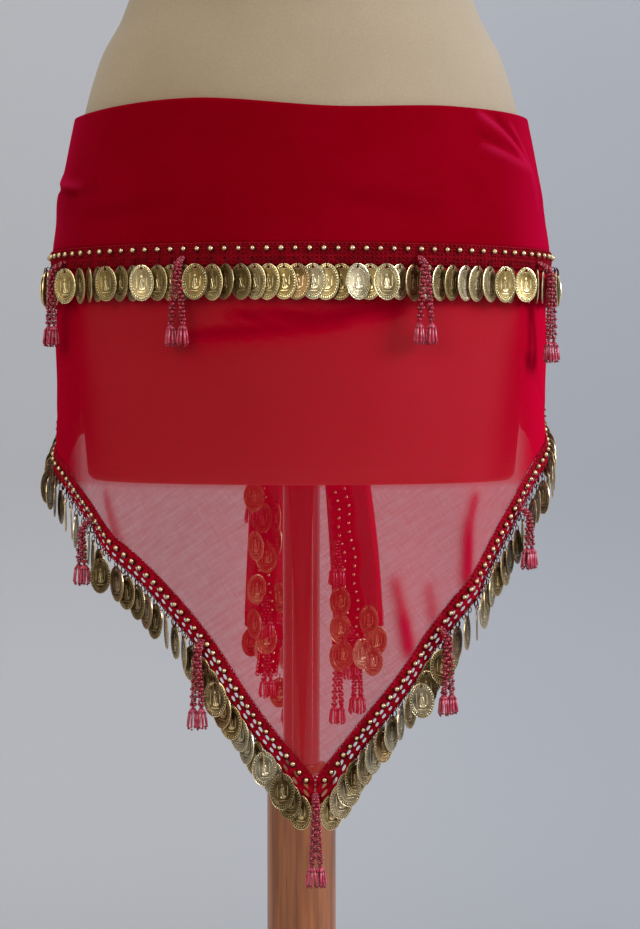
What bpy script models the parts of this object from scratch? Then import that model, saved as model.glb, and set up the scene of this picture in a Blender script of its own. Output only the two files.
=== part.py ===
"""Belly dance hip scarf, tied round a limbless dress form on a wooden stand.

Metres, +Z up. The origin is at the centre of the underside of the base. The point of the scarf
hangs on the side that faces -Y, and its ends are knotted on the side that faces +Y.
An angle runs round the form: 0 at -Y, 90 degrees at +X, -90 degrees at -X, 180 degrees at +Y.
"""

import math
from collections import namedtuple

import bmesh
import bpy
import numpy as np

# Cloth and trim
CLOTH_THICK = 0.0012
SEAM_GAP = 0.0004
HEM_SEAM_GAP = 0.0006
CROCHET_THICK = 0.0014
BAND_CROCHET_DEEP = 0.015
HEM_CROCHET_DEEP = 0.0128
BAND_CROCHET_OUT = 0.0005
HEM_CROCHET_OUT = 0.0002
HEM_HOLE = (0.30, 0.72)
LADDER_PITCH = 0.0176
LADDER_GAP = 0.0059
TUCK_IN = 0.0015
TUCK_FROM_Z = 0.645
TUCK_OVER = 0.030
BAND_REACH = 0.15

# Columns of the cloth round the form, and where the point of the hem is
COLUMNS = 52
END_ANGLE = 167.0
TIP_ANGLE = 3.6
GATHER_FROM = 152.0
GATHER_DEEP = 0.0010
KNOT_GAP = 0.0009
LIFT_TO_KNOT = 0.0175

# Coins
COIN_WIDE = 0.0175
COIN_TALL = 0.0245
COIN_THICK = 0.0009
COIN_PITCH = 0.0096
COIN_NECK = 0.0022
BAND_SHOULDER = (0.0022, 0.0072)
HEM_SHOULDER = (0.0050, 0.0100)
COIN_BOTTOM_WIDE = 0.0085
BAND_COIN_TURN = 24.0
HEM_COIN_TURN = 25.0
TURN_CHANGE = 3.0
BAND_COIN_OUT = 0.0052
HEM_COIN_OUT = 0.0044
TOP_COIN_OUT = 0.0052
BAND_JOIN_ANGLE = 18.0
BAND_COIN_END = 149.0
HEM_COIN_END = 152.0
HEM_CROCHET_END = 158.5
CORD_THICK = 0.0015
CORD_TALL = 0.0028
CORD_BELOW = 0.0004
CHAIN_UP = 0.0012
CHAIN_OUT = 0.0008
HEM_COIN_START = 0.0150

# Tassels
LEG_RADIUS = 0.0010
BULB_RADIUS = 0.0036
BULB_TALL = 0.0150
LEG_APART = 0.0046
TASSEL_OUT = 0.0112
TASSEL_LOOP_UP = 0.0055

# Stand
BASE_RADIUS = 0.215
BASE_TALL = 0.030
BASE_EDGE = 0.006
COLUMN_RADIUS = 0.0254
COLUMN_TOP = 0.340
POLE_RADIUS = 0.0136
FORM_BOTTOM = 0.550
FORM_TOP = 1.340
PIECE_GAP = 0.0003

# Knot and tied ends
KNOT_CENTRE = (0.0, 0.1480, 0.7485)
KNOT_HALF = (0.0423, 0.0165, 0.0240)

Level = namedtuple("Level", "z width front back")
# The outermost cloth: half its width, and how far it reaches to the front and to the back.
CLOTH_LEVELS = [
    Level(0.300, 0.1640, 0.1155, 0.1270),
    Level(0.340, 0.1655, 0.1170, 0.1280),
    Level(0.450, 0.1705, 0.1195, 0.1300),
    Level(0.562, 0.1755, 0.1215, 0.1310),
    Level(0.608, 0.1780, 0.1215, 0.1315),
    Level(0.645, 0.1795, 0.1210, 0.1320),
    Level(0.682, 0.1805, 0.1203, 0.1320),
    Level(0.711, 0.1815, 0.1195, 0.1320),
    Level(0.739, 0.1780, 0.1165, 0.1300),
    Level(0.759, 0.1750, 0.1140, 0.1270),
    Level(0.787, 0.1700, 0.1105, 0.1220),
    Level(0.816, 0.1640, 0.1075, 0.1175),
]
# The form under it, from its lower edge to the top of its neck.
FORM_LEVELS = [
    Level(0.550, 0.1560, 0.0950, 0.1080),
    Level(0.600, 0.1610, 0.1040, 0.1180),
    Level(0.645, 0.1690, 0.1110, 0.1240),
    Level(0.680, 0.1755, 0.1148, 0.1275),
    Level(0.711, 0.1784, 0.1164, 0.1289),
    Level(0.739, 0.1742, 0.1128, 0.1262),
    Level(0.759, 0.1700, 0.1100, 0.1228),
    Level(0.787, 0.1630, 0.1060, 0.1170),
    Level(0.820, 0.1565, 0.1020, 0.1115),
    Level(0.857, 0.1450, 0.0950, 0.1020),
    Level(0.885, 0.1300, 0.0890, 0.0940),
    Level(0.920, 0.1200, 0.0850, 0.0880),
    Level(0.960, 0.1215, 0.0865, 0.0880),
    Level(1.020, 0.1350, 0.0960, 0.0920),
    Level(1.100, 0.1520, 0.1120, 0.0960),
    Level(1.170, 0.1640, 0.1080, 0.0970),
    Level(1.230, 0.1700, 0.0900, 0.0900),
    Level(1.265, 0.1500, 0.0740, 0.0770),
    Level(1.285, 0.1080, 0.0620, 0.0640),
    Level(1.302, 0.0700, 0.0540, 0.0550),
    Level(FORM_TOP, 0.0560, 0.0500, 0.0510),
]

Edge = namedtuple("Edge", "angle z")
TOP_EDGE = [
    Edge(-167, 0.775), Edge(-150, 0.803), Edge(-130, 0.811), Edge(-75, 0.811), Edge(-28, 0.815),
    Edge(10, 0.808), Edge(40, 0.811), Edge(130, 0.811), Edge(150, 0.803), Edge(167, 0.775),
]
BAND_EDGE = [
    Edge(-167, 0.741), Edge(-152, 0.716), Edge(-90, 0.715), Edge(90, 0.715), Edge(152, 0.716),
    Edge(167, 0.741),
]
# The cloth's own edge along the hem, where the crochet is sewn to it.
HEM_EDGE = [
    Edge(-167, 0.724), Edge(-158, 0.695), Edge(-145, 0.672), Edge(-125, 0.643), Edge(-108, 0.612),
    Edge(-90, 0.582), Edge(-67, 0.553), Edge(-45, 0.513), Edge(-21, 0.450), Edge(-7.4, 0.391),
    Edge(3.6, 0.352), Edge(17, 0.401), Edge(31.6, 0.455), Edge(47, 0.505), Edge(64, 0.552),
    Edge(79, 0.577), Edge(90, 0.590), Edge(108, 0.618), Edge(125, 0.646), Edge(145, 0.673),
    Edge(158, 0.695), Edge(167, 0.724),
]

Fold = namedtuple("Fold", "angle from_z to_z half_wide high")
# The veil's largest hanging folds. Each swells out of the cloth below from_z, down to the hem.
VEIL_FOLDS = [
    Fold(-152, 0.700, 0.660, 7, 0.003),
    Fold(-122, 0.660, 0.600, 8, 0.005),
    Fold(-82, 0.630, 0.560, 7, 0.004),
    Fold(-47, 0.600, 0.520, 7, 0.006),
    Fold(-16, 0.540, 0.430, 8, 0.005),
    Fold(23, 0.530, 0.420, 7, 0.005),
    Fold(41, 0.600, 0.500, 7, 0.006),
    Fold(80, 0.630, 0.570, 7, 0.003),
    Fold(118, 0.660, 0.600, 8, 0.005),
    Fold(150, 0.700, 0.660, 7, 0.003),
]
# Soft ridges in the band, each across it between two places.
Ridge = namedtuple("Ridge", "from_angle from_z to_angle to_z half_wide high")
BAND_RIDGES = [
    Ridge(52, 0.792, 80, 0.752, 0.016, 0.0022),
    Ridge(-88, 0.752, -66, 0.760, 0.014, 0.0022),
    Ridge(-40, 0.735, -8, 0.760, 0.020, 0.0014),
    Ridge(104, 0.760, 128, 0.745, 0.018, 0.0018),
    Ridge(-132, 0.742, -106, 0.762, 0.018, 0.0018),
]
BAND_ROWS = (0.0, 0.33, 0.67, 1.0)
VEIL_ROWS = (0.09, 0.30, 0.52, 0.76, 1.0)

Hanging = namedtuple("Hanging", "angle long")
BAND_TASSELS = [
    Hanging(-146, 0.058), Hanging(-66, 0.059), Hanging(-25.8, 0.060), Hanging(26.5, 0.059),
    Hanging(67, 0.070), Hanging(145, 0.058),
]
HEM_TASSELS = [
    Hanging(-134, 0.055), Hanging(-104, 0.055), Hanging(-54, 0.046), Hanging(-21, 0.059),
    Hanging(TIP_ANGLE, 0.062), Hanging(32, 0.058), Hanging(58.5, 0.044), Hanging(106, 0.055),
    Hanging(133, 0.055),
]

TailRow = namedtuple("TailRow", "z inner wide back pleat")
# A tied end, gathered under the knot and wider below: how far its inner side is from the middle,
# its width, its place along Y and how far its pleats stand to each side of that place.
TAIL_ROWS = [
    TailRow(0.7266, 0.0030, 0.0160, 0.1475, 0.0015),
    TailRow(0.700, 0.0045, 0.0205, 0.1530, 0.0035),
    TailRow(0.620, 0.0085, 0.0290, 0.1550, 0.0050),
    TailRow(0.540, 0.0120, 0.0350, 0.1550, 0.0050),
    TailRow(0.470, 0.0145, 0.0385, 0.1550, 0.0045),
    TailRow(0.420, 0.0160, 0.0400, 0.1550, 0.0035),
]
# The two ends hang to each side of this line below the knot.
TAIL_SHIFT = 0.0085
TAIL_PLEATS = 2
TAIL_COLUMNS = 8
TAIL_EDGE_RISE = 0.016
TAIL_COINS = 4
TAIL_TASSEL_LONG = 0.074
TAIL_TASSEL_IN = 0.004


class Curve:
    """A smooth curve through given places and values that never swings past them."""

    def __init__(self, places, values):
        self.places = np.array(places, float)
        self.values = np.array(values, float)
        steps = np.diff(self.values) / np.diff(self.places)
        before, after = steps[:-1], steps[1:]
        total = np.where(before * after > 0, before + after, 1.0)
        inner = np.where(before * after > 0, 2 * before * after / total, 0.0)
        self.slopes = np.concatenate([steps[:1], inner, steps[-1:]])

    def at(self, place):
        place = np.clip(place, self.places[0], self.places[-1])
        last = len(self.places) - 2
        i = np.clip(np.searchsorted(self.places, place, side="right") - 1, 0, last)
        span = self.places[i + 1] - self.places[i]
        t = (place - self.places[i]) / span
        start, end = self.values[i], self.values[i + 1]
        rise = t * t * (3 - 2 * t)
        bend = span * t * (1 - t) * ((1 - t) * self.slopes[i] - t * self.slopes[i + 1])
        return start + (end - start) * rise + bend


def curves_of(levels):
    heights = [level.z for level in levels]
    return [Curve(heights, [getattr(level, side) for level in levels]) for side in Level._fields[1:]]


def edge_curve(edges):
    return Curve([math.radians(edge.angle) for edge in edges], [edge.z for edge in edges])


CLOTH = curves_of(CLOTH_LEVELS)
FORM = curves_of(FORM_LEVELS)


def soft_step(t):
    t = np.clip(t, 0.0, 1.0)
    return t * t * (3 - 2 * t)


def outward(curves, angle, z):
    """The level direction that points straight out of the surface."""
    width = curves[0].at(z)
    depth = np.where(np.cos(angle) > 0, curves[1].at(z), curves[2].at(z))
    direction = np.stack([depth * np.sin(angle), -width * np.cos(angle), 0 * angle + 0 * z], axis=-1)
    return direction / np.linalg.norm(direction, axis=-1, keepdims=True)


def surface(curves, angle, z, out=0.0):
    """Points on the surface at an angle and a height, moved out by a distance."""
    angle, z, out = np.broadcast_arrays(np.asarray(angle, float), z, out)
    width = curves[0].at(z)
    depth = np.where(np.cos(angle) > 0, curves[1].at(z), curves[2].at(z))
    point = np.stack([width * np.sin(angle), -depth * np.cos(angle), z], axis=-1)
    return point + out[..., None] * outward(curves, angle, z)


def column_angles():
    """One angle for each line of points down the cloth, with one on the point of the hem."""
    share = np.linspace(-1, 1, COLUMNS + 1)
    return np.radians(END_ANGLE * share + TIP_ANGLE * (1 - np.abs(share)))


ANGLES = column_angles()
TOP_Z = edge_curve(TOP_EDGE).at(ANGLES)
BAND_Z = edge_curve(BAND_EDGE).at(ANGLES)
HEM_Z = edge_curve(HEM_EDGE).at(ANGLES)


def lift(angle):
    """How far the cloth leaves the form on its way to the knot."""
    turn = (np.abs(np.degrees(angle)) - GATHER_FROM) / (END_ANGLE - GATHER_FROM)
    return LIFT_TO_KNOT * soft_step(turn)


def gather(angle, row):
    """Gathers beside the knot: every other row of points stands out."""
    turn = (np.abs(np.degrees(angle)) - GATHER_FROM) / (END_ANGLE - GATHER_FROM)
    return GATHER_DEEP * (row % 2) * soft_step(turn)


def veil_out(angle, z):
    """How far the panel's outer side stands from the outermost cloth surface."""
    out = -TUCK_IN * soft_step((z - TUCK_FROM_Z) / TUCK_OVER)
    for fold in VEIL_FOLDS:
        across = (np.degrees(angle) - fold.angle) / fold.half_wide
        fall = soft_step((fold.from_z - z) / (fold.from_z - fold.to_z))
        out = out + fold.high * np.exp(-across**2) * fall
    return out + lift(angle) * (1 - KNOT_GAP / LIFT_TO_KNOT)


def band_out(angle, z):
    """How far the band's outer side stands from the outermost cloth surface."""
    out = lift(angle)
    for ridge in BAND_RIDGES:
        start = np.array([math.radians(ridge.from_angle) * BAND_REACH, ridge.from_z])
        run = np.array([math.radians(ridge.to_angle) * BAND_REACH, ridge.to_z]) - start
        place = np.stack([angle * BAND_REACH, z + 0 * angle], axis=-1) - start
        along = np.clip(place @ run / (run @ run), 0, 1)
        away = np.linalg.norm(place - along[..., None] * run, axis=-1)
        out = out + ridge.high * np.exp(-((away / ridge.half_wide) ** 2))
    return out


def material(name, colour, roughness, metallic=0.0):
    made = bpy.data.materials.new(name)
    made.use_nodes = True
    shader = made.node_tree.nodes["Principled BSDF"]
    shader.inputs["Base Color"].default_value = (*colour, 1)
    shader.inputs["Roughness"].default_value = roughness
    shader.inputs["Metallic"].default_value = metallic
    return made


def add_solid(name, points, faces, finish, smooth_under=None):
    """One named object from points and faces, its faces turned to point outward."""
    mesh = bpy.data.meshes.new(name)
    mesh.from_pydata([tuple(p) for p in points], [], [tuple(int(i) for i in f) for f in faces])
    work = bmesh.new()
    work.from_mesh(mesh)
    bmesh.ops.recalc_face_normals(work, faces=work.faces)
    work.to_mesh(mesh)
    work.free()
    if smooth_under:
        mesh.shade_smooth()
        mesh.set_sharp_from_angle(angle=math.radians(smooth_under))
    mesh.materials.append(finish)
    made = bpy.data.objects.new(name, mesh)
    bpy.context.scene.collection.objects.link(made)
    return made


def add_wall(name, outer, inner, finish, holes=()):
    """A wall between two grids of points, with the cells named in holes cut through."""
    rows, columns = outer.shape[:2]
    count = rows * columns

    def index(row, column, side):
        return side * count + row * columns + column

    faces = []
    open_cells = set(holes)
    for row in range(rows - 1):
        for column in range(columns - 1):
            corners = [(row, column), (row, column + 1), (row + 1, column + 1), (row + 1, column)]
            if (row, column) not in open_cells:
                faces.append([index(*corner, 0) for corner in corners])
                faces.append([index(*corner, 1) for corner in reversed(corners)])
                continue
            for a, b in zip(corners, corners[1:] + corners[:1]):
                faces.append([index(*a, 0), index(*b, 0), index(*b, 1), index(*a, 1)])
    rim = [(0, c) for c in range(columns)] + [(r, columns - 1) for r in range(1, rows)]
    rim += [(rows - 1, c) for c in range(columns - 2, -1, -1)] + [(r, 0) for r in range(rows - 2, 0, -1)]
    for a, b in zip(rim, rim[1:] + rim[:1]):
        faces.append([index(*a, 0), index(*b, 0), index(*b, 1), index(*a, 1)])
    points = np.concatenate([outer.reshape(-1, 3), inner.reshape(-1, 3)])
    return add_solid(name, points, faces, finish, smooth_under=40)


def add_loft(name, rings, finish, smooth_under=40):
    """A closed solid through rings of equal numbers of points, with a flat face at each end."""
    rings = np.asarray(rings)
    count, around = rings.shape[:2]
    faces = [list(range(around)), [(count - 1) * around + i for i in range(around)]]
    for ring in range(count - 1):
        for i in range(around):
            j = (i + 1) % around
            below, above = ring * around, (ring + 1) * around
            faces.append([below + i, below + j, above + j, above + i])
    return add_solid(name, rings.reshape(-1, 3), faces, finish, smooth_under)


def turned(profile, sides):
    """Rings of a turned piece round the Z axis, from rows of radius and height."""
    angles = np.linspace(0, 2 * math.pi, sides, endpoint=False)
    return [[(r * math.cos(a), r * math.sin(a), z) for a in angles] for r, z in profile]


def build_form(jersey, wood):
    """The limbless form, with a ring of points at each level and a wooden cap on its neck."""
    share = np.concatenate([ANGLES[::2], np.radians([180.0])])
    rings = [surface(FORM, share, level.z) for level in FORM_LEVELS]
    add_loft("dress_form", rings, jersey, smooth_under=60)
    top = FORM_TOP + PIECE_GAP
    cap = [(0.046, top), (0.054, top + 0.004), (0.054, top + 0.010)]
    cap += [(0.040, top + 0.017), (0.014, top + 0.021)]
    add_loft("neck_cap", turned(cap, 20), wood)


def build_stand(wood, pole_finish):
    edge = BASE_EDGE
    base = [
        (BASE_RADIUS - edge, 0.0), (BASE_RADIUS, edge * 0.6), (BASE_RADIUS, BASE_TALL - edge),
        (BASE_RADIUS - edge, BASE_TALL),
    ]
    add_loft("base", turned(base, 48), wood)
    r, foot, top = COLUMN_RADIUS, BASE_TALL + PIECE_GAP, COLUMN_TOP
    column = [
        (r * 1.5, foot), (r * 1.5, foot + 0.006), (r * 1.12, foot + 0.016), (r, foot + 0.024),
        (r, top - 0.014), (r * 0.93, top - 0.006), (r * 0.76, top - 0.001), (r * 0.62, top),
    ]
    add_loft("column", turned(column, 20), wood)
    pole = [(POLE_RADIUS, top + PIECE_GAP), (POLE_RADIUS, FORM_BOTTOM - PIECE_GAP)]
    add_loft("pole", turned(pole, 16), pole_finish)


def cloth_rows():
    """Heights of the rows of points: those under the band, then those below it."""
    upper = [TOP_Z + (BAND_Z - TOP_Z) * share for share in BAND_ROWS]
    lower = [BAND_Z + (HEM_Z - BAND_Z) * share for share in VEIL_ROWS]
    return upper, lower


def build_cloth(veil, band):
    """The veil from the top edge to the hem, and the band that lies on its upper part."""
    upper, lower = cloth_rows()
    outs = [veil_out(ANGLES, z) + gather(ANGLES, row) for row, z in enumerate(upper + lower)]
    outer = np.array([surface(CLOTH, ANGLES, z, out) for z, out in zip(upper + lower, outs)])
    inner = np.array([surface(CLOTH, ANGLES, z, out - CLOTH_THICK) for z, out in zip(upper + lower, outs)])
    add_wall("veil_panel", outer, inner, veil)
    outs = [band_out(ANGLES, z) + gather(ANGLES, row) for row, z in enumerate(upper)]
    outer = np.array([surface(CLOTH, ANGLES, z, out) for z, out in zip(upper, outs)])
    inner = np.array([surface(CLOTH, ANGLES, z, out - CLOTH_THICK) for z, out in zip(upper, outs)])
    add_wall("hip_band", outer, inner, band)


Place = namedtuple("Place", "point outward along")


def places_along(line, angles, pitch, first=0.0):
    """Evenly spaced places on a line of points, each with its outward and its level direction."""
    steps = np.linalg.norm(np.diff(line, axis=0), axis=1)
    run = np.concatenate([[0.0], np.cumsum(steps)])
    places = []
    for distance in np.arange(first, run[-1], pitch):
        point = np.array([np.interp(distance, run, line[:, axis]) for axis in range(3)])
        angle = np.interp(distance, run, angles)
        out = outward(CLOTH, np.array(angle), np.array(point[2]))
        places.append(Place(point, out, np.array([-out[1], out[0], 0.0])))
    return places


def between_columns(angles, line):
    """Points on a line that runs straight from column to column of the cloth."""
    return np.stack([np.interp(angles, ANGLES, line[:, axis]) for axis in range(3)], axis=-1)


def band_line(angles, below, out):
    """Points along the band's lower edge, a distance below it and out from the surface."""
    return between_columns(angles, surface(CLOTH, ANGLES, BAND_Z - below, out))


def on_hem(angles):
    """Points on the outer side of the panel's lower edge, which runs straight from column to column."""
    return between_columns(angles, surface(CLOTH, ANGLES, HEM_Z, veil_out(ANGLES, HEM_Z)))


def hem_line(side, angles, across, out):
    """Points along the left (-1) or right (1) hem, a distance across its trim and out from the panel."""
    half_column = math.radians(END_ANGLE / COLUMNS)
    span = sorted((math.radians(TIP_ANGLE), math.radians(side * END_ANGLE)))
    edge = on_hem(angles)
    run = on_hem(np.clip(angles + half_column, *span)) - on_hem(np.clip(angles - half_column, *span))
    run /= np.linalg.norm(run, axis=-1, keepdims=True)
    down = np.array([0.0, 0.0, -1.0]) + run[:, 2:] * run
    down /= np.linalg.norm(down, axis=-1, keepdims=True)
    at_tip = np.isclose(angles, math.radians(TIP_ANGLE))
    slope = np.abs(run[:, 2])
    reach = np.where(at_tip, across / np.sqrt(1 - slope**2), across)
    down[at_tip] = (0.0, 0.0, -1.0)
    return edge + reach[:, None] * down + out * outward(CLOTH, angles, edge[:, 2])


def hem_angles(side, last=HEM_CROCHET_END, count=400):
    """Angles from the point of the hem to the knot, on the left (-1) or the right (1)."""
    return np.linspace(math.radians(TIP_ANGLE), math.radians(side * last), count)


def build_band_crochet(finish):
    for side, name in ((-1, "band_crochet_left"), (1, "band_crochet_right")):
        limit = math.radians(GATHER_FROM)
        angles = ANGLES[(ANGLES * side >= 0) & (np.abs(ANGLES) <= limit)]
        if side < 0:
            angles = np.append(angles, math.radians(TIP_ANGLE) - SEAM_GAP)
        depths = (SEAM_GAP, BAND_CROCHET_DEEP)
        outer = np.array([band_line(angles, depth, BAND_CROCHET_OUT) for depth in depths])
        inner = np.array([band_line(angles, depth, BAND_CROCHET_OUT - CROCHET_THICK) for depth in depths])
        add_wall(name, outer, inner, finish)


def build_hem_crochet(finish):
    """Openwork strips along the hem: a hole and a solid stretch by turns, between two rails."""
    for side, name in ((-1, "hem_crochet_left"), (1, "hem_crochet_right")):
        angles = hem_angles(side)
        edge = hem_line(side, angles, 0.0, 0.0)
        run = np.concatenate([[0.0], np.cumsum(np.linalg.norm(np.diff(edge, axis=0), axis=1))])
        starts = np.arange(0.5 * LADDER_PITCH, run[-1] - LADDER_PITCH, LADDER_PITCH)
        stops = np.sort(np.concatenate([[SEAM_GAP], starts, starts + LADDER_GAP, [run[-1]]]))
        at = np.interp(stops, run, angles)
        at[0] = angles[0]
        shift = np.zeros((len(at), 3))
        shift[0, 0] = side * SEAM_GAP
        hole_from, hole_to = [share * HEM_CROCHET_DEEP for share in HEM_HOLE]
        depths = (HEM_SEAM_GAP, hole_from, hole_to, HEM_CROCHET_DEEP)
        outer = np.array([hem_line(side, at, depth, HEM_CROCHET_OUT) + shift for depth in depths])
        back = HEM_CROCHET_OUT - CROCHET_THICK
        inner = np.array([hem_line(side, at, depth, back) + shift for depth in depths])
        holes = [(1, column) for column in range(1, len(at) - 2, 2)]
        add_wall(name, outer, inner, finish, holes)


# A coin's shoulder is how far below its cord its top is cut off, and how wide it is there.
Coin = namedtuple("Coin", "place turn out shoulder")


def ring_across(centre, wide, coin, thick):
    """Four corners of a level cut through a coin, front start, front end, back end, back start."""
    turn = math.radians(coin.turn)
    across = math.cos(turn) * coin.place.along + math.sin(turn) * coin.place.outward
    facing = math.cos(turn) * coin.place.outward - math.sin(turn) * coin.place.along
    half, front = 0.5 * wide * across, 0.5 * thick * facing
    return [centre - half + front, centre + half + front, centre + half - front, centre - half - front]


def coin_rings(coin):
    levels = [
        coin.shoulder,
        (COIN_NECK + 0.5 * COIN_TALL, COIN_WIDE),
        (COIN_NECK + COIN_TALL, COIN_BOTTOM_WIDE),
    ]
    rings = []
    for drop, wide in levels:
        centre = coin.place.point + coin.out * coin.place.outward - np.array([0, 0, drop])
        rings.append(ring_across(centre, wide, coin, COIN_THICK))
    return rings


def build_coin_row(name, coins, finish):
    """A three-sided cord with a coin hung from each stretch of it, as one solid."""
    points, faces = [], []
    spots = np.array([coin.place.point for coin in coins])
    middles = (spots[1:] + spots[:-1]) / 2
    ends = [2 * spots[0] - middles[0]] + list(middles) + [2 * spots[-1] - middles[-1]]
    directions = [coins[0].place] + [coin.place for coin in coins]
    for spot, place in zip(ends, directions):
        middle = spot + 0.5 * CORD_THICK * place.outward + np.array([0, 0, CORD_TALL])
        points += [middle, spot + CORD_THICK * place.outward, spot]
    for i, coin in enumerate(coins):
        top, front, back = 3 * i, 3 * i + 1, 3 * i + 2
        next_top, next_front, next_back = top + 3, front + 3, back + 3
        faces += [[top, front, next_front, next_top], [top, next_top, next_back, back]]
        ring = [front, next_front, next_back, back]
        for corners in coin_rings(coin):
            new = [len(points) + k for k in range(4)]
            points += corners
            for k in range(4):
                a, b, c, d = ring[k], ring[(k + 1) % 4], new[(k + 1) % 4], new[k]
                # The diagonal that goes with the coin's turn keeps the thin neck clear of itself.
                faces += [[a, b, c], [a, c, d]] if coin.turn > 0 else [[a, b, d], [b, c, d]]
            ring = new
        faces.append(ring)
    faces += [[0, 1, 2], [3 * len(coins) + k for k in range(3)]]
    add_solid(name, points, faces, finish)


def wobble(i):
    """A small change of turn from one coin to the next."""
    return TURN_CHANGE * math.sin(2.4 * i)


def build_band_coins(finish):
    join, end = math.radians(BAND_JOIN_ANGLE), math.radians(BAND_COIN_END)
    below, out = BAND_CROCHET_DEEP - CORD_BELOW, BAND_CROCHET_OUT + SEAM_GAP
    for side, name in ((-1, "band_coins_left"), (1, "band_coins_right")):
        angles = np.linspace(join, side * end, 900)
        line = band_line(angles, below, out)
        first = 0.0 if side < 0 else COIN_PITCH + 2 * SEAM_GAP
        places = places_along(line, angles, COIN_PITCH, first)
        coins = [
            Coin(place, -side * (BAND_COIN_TURN + wobble(i)), BAND_COIN_OUT - out, BAND_SHOULDER)
            for i, place in enumerate(places)
        ]
        if side < 0:
            coins[0] = Coin(places[0], 0.0, BAND_COIN_OUT - out + TOP_COIN_OUT, BAND_SHOULDER)
            coins.reverse()
        build_coin_row(name, coins, finish)


def hem_chain(side, last):
    """The outer chain of the hem's crochet, and its angles, from below the point to the knot."""
    angles = hem_angles(side, last)
    return hem_line(side, angles, HEM_CROCHET_DEEP - CHAIN_UP, HEM_CROCHET_OUT + CHAIN_OUT), angles


def build_hem_coins(finish):
    for side, name in ((-1, "hem_coins_left"), (1, "hem_coins_right")):
        line, angles = hem_chain(side, HEM_COIN_END)
        places = places_along(line, angles, COIN_PITCH, HEM_COIN_START)
        coins = [
            Coin(place, -side * (HEM_COIN_TURN + wobble(i)), HEM_COIN_OUT, HEM_SHOULDER)
            for i, place in enumerate(places)
        ]
        if side < 0:
            coins.reverse()
        build_coin_row(name, coins, finish)


def tube_rings(path, radii, sides=3):
    """Rings of points round a path, one for each of its points."""
    path = np.asarray(path, float)
    ahead = np.gradient(path, axis=0)
    ahead /= np.linalg.norm(ahead, axis=1, keepdims=True)
    rings = []
    first = np.cross(ahead[0], (0.31, 0.72, 0.2))
    for point, run, radius in zip(path, ahead, radii):
        first = first - (first @ run) * run
        first /= np.linalg.norm(first)
        second = np.cross(run, first)
        turns = np.arange(sides) * 2 * math.pi / sides
        rings.append([point + radius * (math.cos(t) * first + math.sin(t) * second) for t in turns])
    return rings


def build_tassel(name, place, long, out, finish):
    """A strand folded over a thread: two legs, each with a bulb of looped beads at its end."""
    down = np.array([0.0, 0.0, -1.0])

    def leg(sign):
        stops = [
            (0.0050, 0.30 * LEG_APART, out * 0.80, LEG_RADIUS),
            (0.0110, 0.45 * LEG_APART, out, LEG_RADIUS),
            (long - BULB_TALL, 0.9 * LEG_APART, out, LEG_RADIUS),
            (long - 0.45 * BULB_TALL, LEG_APART, out, BULB_RADIUS),
            (long, LEG_APART, out, LEG_RADIUS),
        ]
        return [
            (place.point + drop * down + sign * aside * place.along + away * place.outward, radius)
            for drop, aside, away, radius in stops
        ]

    top = [(place.point + (LEG_RADIUS + PIECE_GAP) * place.outward, LEG_RADIUS)]
    strand = leg(-1)[::-1] + top + leg(1)
    add_loft(name, tube_rings([s[0] for s in strand], [s[1] for s in strand]), finish, smooth_under=None)


def build_tassels(finish):
    for number, hanging in enumerate(BAND_TASSELS, 1):
        angles = np.radians([hanging.angle - 0.1, hanging.angle, hanging.angle + 0.1])
        line = band_line(angles, BAND_CROCHET_DEEP - TASSEL_LOOP_UP, BAND_CROCHET_OUT)
        place = places_along(line, angles, 1.0, np.linalg.norm(line[1] - line[0]))[0]
        build_tassel(f"band_tassel_{number}", place, hanging.long, TASSEL_OUT, finish)
    for number, hanging in enumerate(HEM_TASSELS, 1):
        side = -1 if hanging.angle < TIP_ANGLE else 1
        angle = np.radians(np.array([hanging.angle]))
        point = hem_line(side, angle, 0.5 * HEM_CROCHET_DEEP, HEM_CROCHET_OUT)[0]
        out = outward(CLOTH, angle[0], np.array(point[2]))
        place = Place(point, out, np.array([-out[1], out[0], 0.0]))
        build_tassel(f"hem_tassel_{number}", place, hanging.long, TASSEL_OUT, finish)


def build_knot(finish):
    """A soft lump wound from the two ends, ridged by its wraps, flat where the ends meet it."""
    rings = []
    around = np.linspace(0, 2 * math.pi, 14, endpoint=False)
    for share in np.linspace(-1, 1, 9):
        plump = (1 - abs(share) ** 3 * 0.62) * (1 - 0.13 * math.exp(-((share / 0.22) ** 2)))
        ridge = 1 + 0.07 * np.sin(3 * around + 2.6 * share)
        x = np.full_like(around, KNOT_CENTRE[0] + KNOT_HALF[0] * share)
        y = KNOT_CENTRE[1] + KNOT_HALF[1] * plump * ridge * np.cos(around)
        z = KNOT_CENTRE[2] + KNOT_HALF[2] * plump * ridge * np.sin(around) / 1.07
        rings.append(np.stack([x, y, z], axis=-1))
    add_loft("knot", rings, finish)


def tail_grid(side, thick_side):
    """Points of a tied end, pleated lengthwise, on its outer (0) or inner (1) side."""
    share = np.linspace(0, 1, TAIL_COLUMNS + 1)
    wave = np.sin(2 * math.pi * TAIL_PLEATS * share)
    slope = 2 * math.pi * TAIL_PLEATS * np.cos(2 * math.pi * TAIL_PLEATS * share)
    grid = []
    for row in TAIL_ROWS:
        x, y = row.inner + row.wide * share, row.back + row.pleat * wave
        rise = row.pleat * slope / row.wide
        length = np.sqrt(1 + rise**2)
        x = x - thick_side * CLOTH_THICK * rise / length
        y = y + thick_side * CLOTH_THICK / length
        last = soft_step((TAIL_ROWS[0].z - row.z) / (TAIL_ROWS[0].z - TAIL_ROWS[-1].z))
        z = row.z + TAIL_EDGE_RISE * last * share
        grid.append(np.stack([side * x + TAIL_SHIFT * last, y, z], axis=-1))
    return np.array(grid)


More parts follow.
